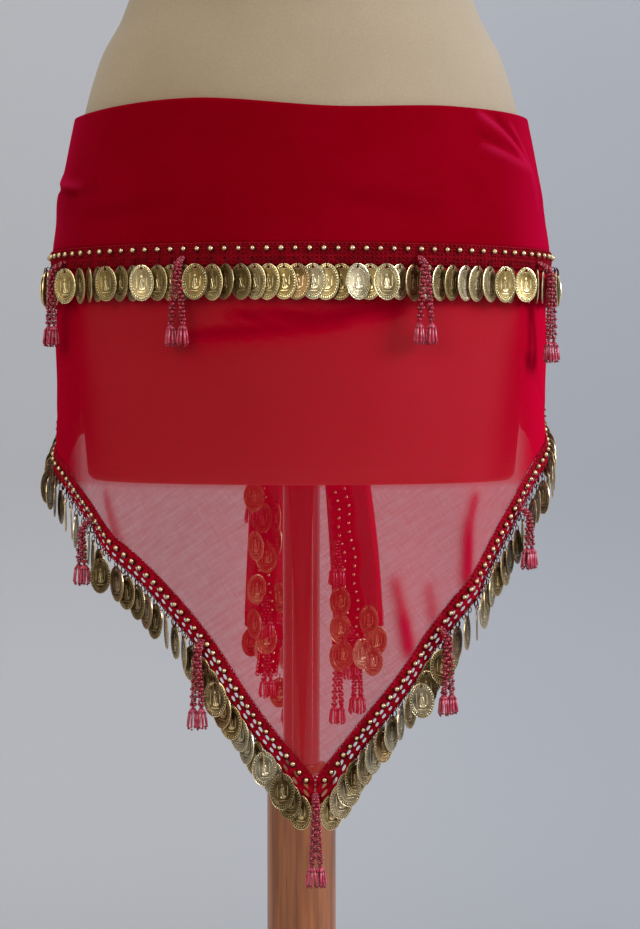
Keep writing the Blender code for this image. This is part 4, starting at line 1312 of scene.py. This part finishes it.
def make_knot():
    """The knot, wound from gathered cloth: wraps cross its middle and folds run into its ends."""
    around = full_turn(120)
    rings = []
    for share in np.linspace(-1, 1, 90):
        plump = (1 - abs(share) ** 3 * 0.62) * (1 - 0.13 * math.exp(-((share / 0.22) ** 2)))
        folds = 0.030 * np.sin(9 * around + 5.0 * share + 0.8 * np.sin(2 * around))
        wraps = 0.10 * math.exp(-((share / 0.20) ** 4)) * (1 + 0.18 * np.sin(around * 2 + share * 26))
        ridge = 1 + 0.07 * np.sin(3 * around + 2.6 * share)
        ridge = ridge + folds * soft_step((abs(share) - 0.12) / 0.2) + wraps
        x = np.full_like(around, KNOT_CENTRE[0] + KNOT_HALF[0] * share)
        y = KNOT_CENTRE[1] + KNOT_HALF[1] * plump * ridge * np.cos(around)
        z = KNOT_CENTRE[2] + KNOT_HALF[2] * plump * ridge * np.sin(around) / 1.07
        rings.append(np.stack([x, y, z], axis=-1))
    rings = np.array(rings)
    rows, columns = rings.shape[:2]
    faces = grid_faces(rows, columns, round_it=True).tolist() + end_caps(rows, columns)
    share = np.linspace(0, 1, rows)[:, None] * 0.09
    uv = np.stack([share + 0 * around, 0 * share + around * 0.02], axis=-1).reshape(-1, 2)
    mesh = make_mesh("knot_cloth", rings.reshape(-1, 3), faces, TAIL_CLOTH, uv)
    faces_out(mesh)
    add_piece("knot_cloth", mesh, ["knot"])


def tail_grid(side, rows=70, columns=64):
    """Points of a tied end, pleated lengthwise, on its outer side."""
    share = np.linspace(0, 1, columns + 1)
    upwards = TAIL_ROWS[::-1]
    heights = [row.z for row in upwards]
    curves = [Curve(heights, [getattr(row, key) for row in upwards]) for key in TailRow._fields[1:]]
    wave = np.sin(2 * math.pi * TAIL_PLEATS * share) + 0.22 * np.sin(2 * math.pi * 5 * share + side)
    top, bottom = TAIL_ROWS[0].z, TAIL_ROWS[-1].z
    grid = []
    for z in np.linspace(top, bottom, rows):
        inner, wide, back, pleat = [curve.at(z) for curve in curves]
        last = soft_step((top - z) / (top - bottom))
        ripple = 0.0006 * np.sin(22 * share + z * 60)
        x = side * (inner + wide * share) + TAIL_SHIFT * last
        y = back + pleat * wave + ripple + CLOTH_THICK
        grid.append(np.stack([x, y, z + TAIL_EDGE_RISE * last * share], axis=-1))
    return np.array(grid)


# ---------------------------------------------------------------------------------------------
# Crochet, coins and tassels
# ---------------------------------------------------------------------------------------------
def upright(places):
    """Turns that carry a shape's X along, its Y outward and its Z up."""
    return turns_of(places.along, places.outward, 0 * places.along - DOWN)


def add_yarn(name, backing, rows, nodes=()):
    """A crochet piece: its backing and its rows of stitches as one mesh."""
    name += "_yarn"
    add_piece(name, joined(name, backing, *rows), nodes)


def chain(name, line, angles, yarn, size=1.0, seed=3):
    """A row of chain stitches along a line of points."""
    places = walk(line, angles, STITCH_PITCH)
    run = unit(np.gradient(places.points, axis=0))
    out = unit(places.outward - (places.outward * run).sum(axis=1, keepdims=True) * run)
    turns = turns_of(run, out, np.cross(run, out))
    points = places.points + STITCH_LIFT * out
    return repeat(name, STITCH, points, turns, yarn, size, size_change=0.08, sway=0.09, seed=seed)


def strip(name, lines, finish, thick, holes=()):
    """A crochet strip between lines of points, with some of its cells left open."""
    grid = np.array(lines)
    rows, columns = grid.shape[:2]
    half = 0.5 * thick * grid_normals(grid)
    points = np.concatenate([(grid + half).reshape(-1, 3), (grid - half).reshape(-1, 3)])
    count, open_cells, faces = rows * columns, set(holes), []
    for row in range(rows - 1):
        for column in range(columns - 1):
            a = row * columns + column
            corners = [a, a + columns, a + columns + 1, a + 1]
            if (row, column) in open_cells:
                faces += walls_round(corners, count)
            else:
                faces += [corners, [c + count for c in reversed(corners)]]
    faces += walls_round(rim_of(rows, columns), count)
    mesh = make_mesh(name, points, faces, finish)
    faces_out(mesh)
    return mesh


def add_beads(name, line, angles, pitch, first, out, bead_and_shadow_ring, seed):
    """Gold beads along a line, each in a dark ring of thread that is painted shadow round and below it."""
    places = walk(line, angles, pitch, first)
    turns, uneven = upright(places), {"size_change": 0.08, "seed": seed}
    size, shadow_ring_size = bead_and_shadow_ring
    points, sizes = places.points + out * places.outward, (size, size, size * 1.15)
    add_repeated(name, BEAD, points, turns, GOLD_BEAD, "gold_coin", sizes=sizes, sway=0.3, **uneven)
    # Each bead gets a dark thread ring a little below and round it: painted shadow.
    points, name = places.points + SHADOW_RING_OUT * places.outward + SHADOW_RING_BELOW * DOWN, name + "_rings"
    add_repeated(name, BEAD_SHADOW_RING, points, turns, THREAD, "crochet", sizes=shadow_ring_size, sway=0.08, **uneven)


def make_band_trim():
    for side, word in SIDES:
        end = side * math.radians(GATHER_FROM)
        angles, columns = np.linspace(TIP, end, 1000), np.linspace(TIP, end, 240)
        depths = np.linspace(SEAM_GAP, BAND_CROCHET_DEEP, 9)
        lines = [band_line(columns, depth, -BAND_BACKING_IN) for depth in depths]
        if side < 0:
            lines = [line[::-1] for line in lines]
        backing = strip(f"band_backing_{word}", lines, CROCHET, BAND_BACKING_THICK)
        rows = []
        for i, depth in enumerate(BAND_STITCH_ROWS):
            line = band_line(angles, depth, BAND_STITCHES_OUT)
            rows.append(chain(f"band_row_{word}_{i}", line, angles, CROCHET, seed=5 + i))
        add_yarn(f"band_crochet_{word}", backing, rows, [f"band_crochet_{word}"])
        pitch, first = BAND_BEAD_PITCH, 0.5 * BAND_BEAD_PITCH
        line = band_line(angles, BAND_BEADS_BELOW, 0.0)
        add_beads(f"band_beads_{word}", line, angles, pitch, first, BEAD_OUT, BAND_BEAD_SIZES, 9)
        # Dark flattened beads where the crochet has holes: painted shade of the holes.
        places = walk(band_line(angles, BAND_PITS_BELOW, PITS_OUT), angles, pitch, first)
        add_repeated(
            f"band_pits_{word}", SEED_BEAD, places.points, upright(places), THREAD, "crochet",
            sizes=(1.1, 0.55, 1.3), size_change=0.15, sway=0.2, seed=15,
        )


def make_hem_trim():
    deep = HEM_CROCHET_DEEP
    for side, word in SIDES:
        angles = hem_angles(side)
        run = distances_along(hem_line(side, angles, 0.0, 0.0))
        starts = np.arange(LACE_PITCH, run[-1] - 2 * LACE_PITCH, LACE_PITCH)
        gaps = LACE_GAP * np.random.default_rng(25 + side).uniform(0.72, 1.15, len(starts))
        stops = np.sort(np.concatenate([[SEAM_GAP], starts, starts + gaps, [run[-1]]]))
        lines = []
        for share in LACE_ROWS:
            slant = LACE_SLANT * share * deep * (stops > LACE_PITCH / 2)
            turned = np.interp(np.clip(stops - slant, SEAM_GAP, run[-1]), run, angles)
            lines.append(hem_line(side, turned, share * deep, HEM_LACE_OUT))
        holes = [(row, column) for column in range(1, len(stops) - 2, 2) for row in SLOT_ROWS]
        if side < 0:
            lines = [line[::-1] for line in lines]
            holes = [(row, len(stops) - 2 - column) for row, column in holes]
        lace = linked("lace", strip(f"hem_lace_{word}", lines, HEM_CROCHET, BACKING_THICK, holes))
        rounding = lace.modifiers.new("rounding", "SUBSURF")
        rounding.levels = rounding.render_levels = 1
        lace = applied(lace)
        rows = []
        for i, (share, size) in enumerate(HEM_STITCH_ROWS):
            line = hem_line(side, angles, share * deep, HEM_STITCHES_OUT)
            rows.append(chain(f"hem_row_{word}_{i}", line, angles, HEM_CROCHET, size, 20 + i))
        add_yarn(f"hem_crochet_{word}", lace, rows, [f"hem_crochet_{word}"])
        line = hem_line(side, angles, HEM_BEADS_SHARE * deep, 0.0)
        pitch, first = LACE_PITCH * line_length(line) / run[-1], LACE_PITCH + 0.5 * LACE_GAP
        add_beads(f"hem_beads_{word}", line, angles, pitch, first, BEAD_OUT, HEM_BEAD_SIZES, 13)
        line = hem_line(side, angles, deep + HEM_LOOPS_BELOW, HEM_LOOPS_OUT)
        places = walk(line, angles, LOOP_PITCH, 0.5 * LOOP_PITCH)
        add_repeated(
            f"hem_loops_{word}", HEM_LOOP, places.points, upright(places), THREAD, "crochet",
            size_change=0.18, sway=0.16, seed=17,
        )


def turned_by(places, turns):
    """The places with their level and outward directions turned about Z, in degrees."""
    turn = np.radians(turns)[:, None]
    out, along = places.outward, places.along
    across, facing = np.cos(turn) * along + np.sin(turn) * out, np.cos(turn) * out - np.sin(turn) * along
    return places._replace(outward=facing, along=across)


def add_coins(name, places, turns, away, finish, slot, node, seed):
    """Coins and their thread loops, hung at places, a distance out from the trim."""
    euler = upright(turned_by(places, turns))
    hung = places.points + np.broadcast_to(away, len(euler))[:, None] * places.outward
    tone = np.random.default_rng(seed).random(len(euler))
    add_repeated(
        name, COIN, hung, euler, finish, slot, [node] if node else (),
        tone=tone, size_change=0.015, sway=0.05, seed=seed,
    )
    hung, uneven = hung - LOOP_ABOVE * DOWN, {"size_change": 0.1, "sway": 0.1, "seed": seed}
    add_repeated(name + "_loops", LOOP, hung, euler, THREAD, "crochet", **uneven)


def coin_turns(side, middle, sweep, count, seed):
    """Turns of the coins in slow groups, partly by chance, all to one side, so that none meets the next."""
    draw = np.random.default_rng(seed)
    wave = np.sin(0.62 * np.arange(count) + draw.uniform(0, 6)) * 0.55 + draw.uniform(-0.5, 0.5, count)
    return -side * np.clip(middle + sweep * wave, LEAST_COIN_TURN, MOST_COIN_TURN)


def some_in_front(side, turns, away, angles, share, seed):
    """Lets some coins hang in front of the row, turned the other way, but never two side by side."""
    chance = np.random.default_rng(seed).random((2, len(turns)))
    near = np.abs(angles) < math.radians(FRONT_COIN_END)
    for i in range(2, len(turns) - 1):
        if chance[0, i] < share and away[i - 1] == away[0] and near[i]:
            turns[i], away[i] = side * FRONT_COIN_TURN * chance[1, i], away[i] + FRONT_COIN_OUT
    return turns, away


def make_coins():
    below, out = BAND_CROCHET_DEEP - CORD_BELOW - COIN_RAISE, BAND_CORD_OUT
    for side, word in SIDES:
        end = side * math.radians(BAND_COIN_END)
        angles = np.linspace(math.radians(BAND_JOIN_ANGLE), end, 1500)
        first = 0.0 if side < 0 else COIN_PITCH + 2 * SEAM_GAP
        places = walk(band_line(angles, below, out), angles, COIN_PITCH, first)
        middle, sweep = LEFT_COIN_TURN if side < 0 else RIGHT_COIN_TURN
        turns = coin_turns(side, middle, sweep, len(places.points), 31 + side)
        away = np.full(len(turns), BAND_COIN_OUT - out)
        turns, away = some_in_front(side, turns, away, places.angles, BAND_FRONT_SHARE, 35 + side)
        if side < 0:
            turns[0], away[0] = 0.0, BAND_COIN_OUT - out + TOP_COIN_OUT
        name, node = f"band_coin_row_{word}", f"band_coins_{word}"
        add_coins(name, places, turns, away, GOLD, "gold_coin", node, 41 + side)
        angles = hem_angles(side, HEM_COIN_END)
        line = hem_line(side, angles, HEM_CROCHET_DEEP - CHAIN_UP, HEM_CORD_OUT)
        places = walk(line, angles, COIN_PITCH, HEM_COIN_START)
        turns = coin_turns(side, *HEM_COINS_TURN, len(places.points), 51 + side)
        away = np.full(len(turns), HEM_COIN_OUT)
        turns, away = some_in_front(side, turns, away, places.angles, HEM_FRONT_SHARE, 55 + side)
        name, node = f"hem_coin_row_{word}", f"hem_coins_{word}"
        add_coins(name, places, turns, away, BRASS, "brass_coin", node, 61 + side)


Tassel = namedtuple("Tassel", "node point outward along long out")


class Beads:
    """Places of the small beads of a tassel, and of its tube beads."""

    def __init__(self):
        self.seeds, self.seed_sizes, self.rods, self.rod_axes, self.rod_sizes = [], [], [], [], []

    def add_seeds(self, points, size):
        self.seeds.append(points)
        self.seed_sizes.append(np.full((len(points), 3), size))

    def add_rod(self, start, end):
        axis = end - start
        long = np.linalg.norm(axis)
        self.rods.append((start + end) / 2)
        self.rod_axes.append(axis / long)
        self.rod_sizes.append((0.80, 0.80, 500 * long * 0.94))


def leg_path(tassel, sign, apart):
    """The middle line of a tassel's left (-1) or right (1) leg, from the trim down to its bulb."""
    knots = np.array([0.0, 0.22, 0.40, 1.0])
    drops = [0.0, 0.0050, 0.0110, tassel.long - BULB_TALL]
    asides = [0.0, 0.22 * apart, 0.30 * apart, 0.92 * apart]
    outs = [0.0012, tassel.out * 0.80, tassel.out, tassel.out]
    fine = np.linspace(0, 1, 60)
    return (
        tassel.point
        + np.interp(fine, knots, drops)[:, None] * DOWN
        + sign * np.interp(fine, knots, asides)[:, None] * tassel.along
        + Curve(knots, outs).at(fine)[:, None] * tassel.outward
    )


def add_leg(beads, tassel, sign, apart, draw):
    """Two twisted strands of seed beads and a bulb of looped tube beads below them."""
    path = leg_path(tassel, sign, apart)
    run = distances_along(path)
    at = np.arange(0.0004, run[-1], SEED_PITCH)
    spots = points_at(path, run, at)
    start = draw.uniform(0, 6)
    for strand in (0, 1):
        turn = start + strand * math.pi + at * 2 * math.pi / STRAND_TWIST * sign
        offset = np.cos(turn)[:, None] * tassel.along + np.sin(turn)[:, None] * tassel.outward
        beads.add_seeds(spots + STRAND_OUT * offset, SEED_SIZE)
    end = path[-1]
    for i in range(BULB_STRANDS):
        turn = 2 * math.pi * (i + draw.uniform(-0.15, 0.15)) / BULB_STRANDS
        away = math.cos(turn) * tassel.along + math.sin(turn) * tassel.outward
        wide = BULB_RADIUS * draw.uniform(0.95, 1.25)
        tall = BULB_TALL * draw.uniform(0.90, 1.02)
        stops = [(0.0010, 0.0008), (0.27 * tall, 0.70 * wide), (0.95 * tall, 1.0 * wide)]
        corners = [end + drop * DOWN + far * away for drop, far in stops]
        for a, b in zip(corners, corners[1:]):
            beads.add_rod(a, b)
        lowest = end + 0.99 * tall * DOWN + 0.78 * wide * away
        beads.add_seeds(np.array([corners[1], lowest]), SMALL_SEED_SIZE)
    beads.add_seeds(np.array([end]), END_SEED_SIZE)


def make_tassels(tassels):
    """Each tassel has two legs and is one piece of two kinds of beads."""
    for number, tassel in enumerate(tassels):
        draw, beads = np.random.default_rng(100 + number), Beads()
        apart = LEG_APART * (1.0 if tassel.node.startswith("band") else LEG_CLOSER)
        for sign in (-1, 1):
            add_leg(beads, tassel, sign, apart, draw)
        spots, sizes = np.concatenate(beads.seeds), np.concatenate(beads.seed_sizes)
        spin = draw.uniform(-1.2, 1.2, (len(spots), 3))
        seeds = repeat("seeds", SEED_BEAD, spots, spin, SEED, sizes, size_change=0.08, seed=number)
        axes = np.array(beads.rod_axes)
        side = unit(np.cross(axes, tassel.along + 0.1 * DOWN))
        turns = turns_of(np.cross(side, axes), side, axes)
        sizes = np.array(beads.rod_sizes)
        rods = repeat("rods", ROD, beads.rods, turns, BUGLE, sizes, size_change=0.05, seed=number)
        name, nodes = tassel.node + "_beads", [tassel.node] if tassel.node in CAD_TASSELS else ()
        add_piece(name, joined(name, seeds, rods), nodes)


CAD_TASSELS = [f"band_tassel_{i + 1}" for i in range(len(BAND_TASSELS))]
CAD_TASSELS += [f"hem_tassel_{i + 1}" for i in range(len(HEM_TASSELS))]
CAD_TASSELS += ["tail_tassel_left", "tail_tassel_right"]


def tassel_at(name, point, angle, long):
    out = outward(CLOTH, angle, point[2:])[0]
    return Tassel(name, point, out, level_of(out), long, TASSEL_OUT)


def body_tassels():
    """The tassels of the band and of the hem, from left to right."""
    found = []
    for number, hanging in enumerate(BAND_TASSELS, 1):
        angle = np.radians([hanging.angle])
        point = band_line(angle, BAND_CROCHET_DEEP - TASSEL_LOOP_UP, BAND_TASSEL_START_OUT)[0]
        found.append(tassel_at(f"band_tassel_{number}", point, angle, hanging.long))
    for number, hanging in enumerate(HEM_TASSELS, 1):
        side = -1 if hanging.angle < TIP_ANGLE else 1
        angle = np.radians([hanging.angle])
        point = hem_line(side, angle, 0.5 * HEM_CROCHET_DEEP, HEM_TASSEL_START_OUT)[0]
        found.append(tassel_at(f"hem_tassel_{number}", point, angle, hanging.long))
    return found


def facing_places(points, out):
    """Places that all face the same way."""
    out = np.tile(np.array(out, float), (len(points), 1))
    return Places(points, out, level_of(out), None)


def make_tails():
    tails, tassels = [], []
    last = TAIL_ROWS[-1]
    for side, word in SIDES:
        grid = tail_grid(side)
        if side > 0:
            grid = grid[:, ::-1]
        share = np.linspace(0, 1, grid.shape[1])[None] + 0 * grid[..., 0]
        uv = np.stack([share * TAIL_UV_WIDE, grid[..., 2]], axis=-1)
        mesh = shell(f"tail_cloth_{word}", grid, TAIL_CLOTH, uv)
        tails.append(add_piece(f"tail_cloth_{word}", mesh, [f"tail_{word}"]))
        edge = grid[-1]
        angles = np.full(len(edge), math.pi)
        lines = [edge + depth * DOWN for depth in np.linspace(SEAM_GAP, HEM_CROCHET_DEEP, 6)]
        backing = strip(f"tail_backing_{word}", lines, HEM_CROCHET, BACKING_THICK)
        rows = [
            chain(f"tail_row_{word}_{i}", edge + depth * DOWN, angles, HEM_CROCHET, 0.9, 70 + i)
            for i, depth in enumerate(TAIL_STITCH_ROWS)
        ]
        add_yarn(f"tail_crochet_{word}", backing, rows, [f"tail_crochet_{word}"])
        start = np.array([side * last.inner + TAIL_SHIFT, last.back, last.z])
        end = np.array([side * (last.inner + last.wide) + TAIL_SHIFT, last.back, last.z + TAIL_EDGE_RISE])
        shares = (np.arange(TAIL_COINS) + 0.5) / TAIL_COINS
        points = start + (end - start) * shares[:, None]
        points[:, 1] = last.back + last.pleat + CLOTH_THICK + SEAM_GAP
        points[:, 2] -= HEM_CROCHET_DEEP - CHAIN_UP
        places = facing_places(points, (0, 1, 0))
        turns = np.full(TAIL_COINS, side * TAIL_COIN_TURN)
        name, node = f"tail_coin_row_{word}", f"tail_coins_{word}"
        add_coins(name, places, turns, HEM_COIN_OUT, BRASS, "brass_coin", node, 80 + side)
        x, z = start[0] + side * TAIL_TASSEL_IN, start[2] - 0.5 * HEM_CROCHET_DEEP
        point = np.array([x, points[0, 1], z])
        out, along = places.outward[0], places.along[0]
        tassels.append(Tassel(f"tail_tassel_{word}", point, out, along, TAIL_TASSEL_LONG, TASSEL_OUT))
    return tails, tassels + tail_trims()


def tail_trims():
    """The edging along the tied ends, in front of them: crochet, beads, coins and small tassels."""
    front, level = np.array([0.0, -1.0, 0.0]), np.array([1.0, 0.0, 0.0])
    tassels = []
    for trim in TAIL_TRIMS:
        heights = np.linspace(trim.line[0][1], trim.line[-1][1], 120)
        places = sorted((z, x) for x, z in trim.line)
        x = Curve([z for z, _ in places], [x for _, x in places]).at(heights)
        middle = np.stack([x, np.full_like(x, TRIM_BACK), heights], axis=-1)
        wave = 0.0012 * np.sin(heights * 160)[:, None]
        lines = [middle + (offset + wave) * level for offset in np.linspace(-0.5, 0.5, 5) * trim.wide]
        backwards = [line[::-1] for line in lines]
        backing = strip(f"tail_trim_{trim.word}", backwards, HEM_CROCHET, BACKING_THICK)
        lines = [line + TRIM_STITCHES_OUT * front for line in lines]
        angles = np.zeros(len(x))
        rows = [
            chain(f"tail_trim_row_{trim.word}_{i}", line, angles, HEM_CROCHET, seed=90 + i)
            for i, line in enumerate(lines)
        ]
        add_yarn(f"tail_trim_{trim.word}", backing, rows)
        for i in (1, 3):
            name, sizes = f"tail_trim_beads_{trim.word}_{i}", TRIM_BEAD_SIZES
            add_beads(name, lines[i], angles, LACE_PITCH, 0.002 * i, TRIM_BEAD_OUT, sizes, 95 + i)
        top = COIN_NECK + COIN_TALL / 2
        hung = []
        for i, (x, z, _) in enumerate(trim.coins):
            hung.append((x, TRIM_BACK - TRIM_COIN_OUT - TRIM_COIN_STEP * (i % 3), z + top))
        turns = [float(turn) for _, _, turn in trim.coins]
        places = facing_places(np.array(hung), front)
        add_coins(f"tail_trim_coins_{trim.word}", places, turns, 0.0, BRASS, "brass_coin", None, 85)
        for i, (x, z, long) in enumerate(trim.tassels, 1):
            name, point = f"tail_trim_tassel_{trim.word}_{i}", np.array([x, TRIM_BACK - 0.001, z])
            tassels.append(Tassel(name, point, front, level, long, TRIM_TASSEL_OUT))
    return tassels


# ---------------------------------------------------------------------------------------------
# Camera, light and the pale room
# ---------------------------------------------------------------------------------------------
def make_camera():
    data = bpy.data.cameras.new("camera")
    data.lens, data.sensor_width, data.sensor_fit = 76.46, 36.0, "AUTO"
    camera = linked("camera", data)
    camera.location = (0.0137, -1.45, 0.619)
    camera.rotation_euler = (math.radians(90 - 2.3), 0, 0)
    bpy.context.scene.camera = camera


def make_light(name, place, aim, size, power, colour=(1.0, 1.0, 1.0), tall=0.0):
    """A soft light that points from its place to its aim: a disk, or an upright strip if tall is given."""
    data = bpy.data.lights.new(name, "AREA")
    data.shape, data.energy, data.color = "RECTANGLE" if tall else "DISK", power, colour
    data.size = size
    if tall:
        data.size_y = tall
    light = linked(name, data)
    light.location = place
    x, y, z = np.array(aim, float) - np.array(place, float)
    light.rotation_euler = (math.atan2(math.hypot(x, y), -z), 0, math.atan2(y, x) - math.pi / 2)


def make_sky():
    """Even light from all round, a little stronger from the right."""
    world = bpy.data.worlds.new("soft_sky")
    world.use_nodes = True
    nodes, links = world.node_tree.nodes, world.node_tree.links
    parts = nodes.new("ShaderNodeSeparateXYZ")
    links.new(nodes.new("ShaderNodeTexCoord").outputs["Generated"], parts.inputs[0])
    share = nodes.new("ShaderNodeMapRange")
    for name, value in {"From Min": -0.8, "From Max": 1.0, "To Min": 0.30, "To Max": 0.60}.items():
        share.inputs[name].default_value = value
    links.new(parts.outputs[0], share.inputs["Value"])
    links.new(share.outputs["Result"], nodes["Background"].inputs[1])
    nodes["Background"].inputs[0].default_value = (0.96, 0.97, 1.0, 1)
    bpy.context.scene.world = world


def make_room():
    """A wall that curves into the floor, and the lights."""
    back, radius, wide, tall, front = 1.15, 0.5, 5.0, 3.4, -4.0
    turns = np.radians(np.linspace(0, 90, 24))
    curve = [(back - radius + radius * math.sin(t), radius - radius * math.cos(t)) for t in turns]
    profile = [(front, 0.0), *curve, (back, tall)]
    points = [(x, y, z - 0.0005) for y, z in profile for x in (-wide, wide)]
    faces = [[2 * i, 2 * i + 1, 2 * i + 3, 2 * i + 2] for i in range(len(profile) - 1)]
    room = linked("room", make_mesh("room", points, faces, wall_finish()))
    make_sky()
    make_light("key", (2.2, -0.8, 1.6), (0, 0, 0.65), 1.2, 52, (0.84, 0.93, 1.16))
    make_light("fill", (-1.1, -2.2, 1.5), (0, 0, 0.6), 1.5, 20, (1.0, 0.95, 0.87))
    make_light("top", (0.2, 0.2, 2.6), (0, 0.1, 0.6), 1.6, 8)
    make_light("wall", (-0.6, 0.1, 2.9), (-0.2, 1.1, 0.7), 1.2, 10)
    make_light("right_strip", (1.9, -0.55, 0.60), (0, 0, 0.60), 0.10, 1.7, tall=1.15)
    make_light("left_strip", (-1.3, -0.9, 0.60), (0, 0, 0.60), 0.06, 0.75, tall=1.15)
    bpy.context.scene.view_settings.view_transform = "Standard"


def main():
    make_camera()
    make_form()
    make_stand()
    veil, band = make_cloth()
    make_knot()
    make_band_trim()
    make_hem_trim()
    make_coins()
    tails, tassels = make_tails()
    make_tassels(body_tassels() + tassels)
    make_room()


main()
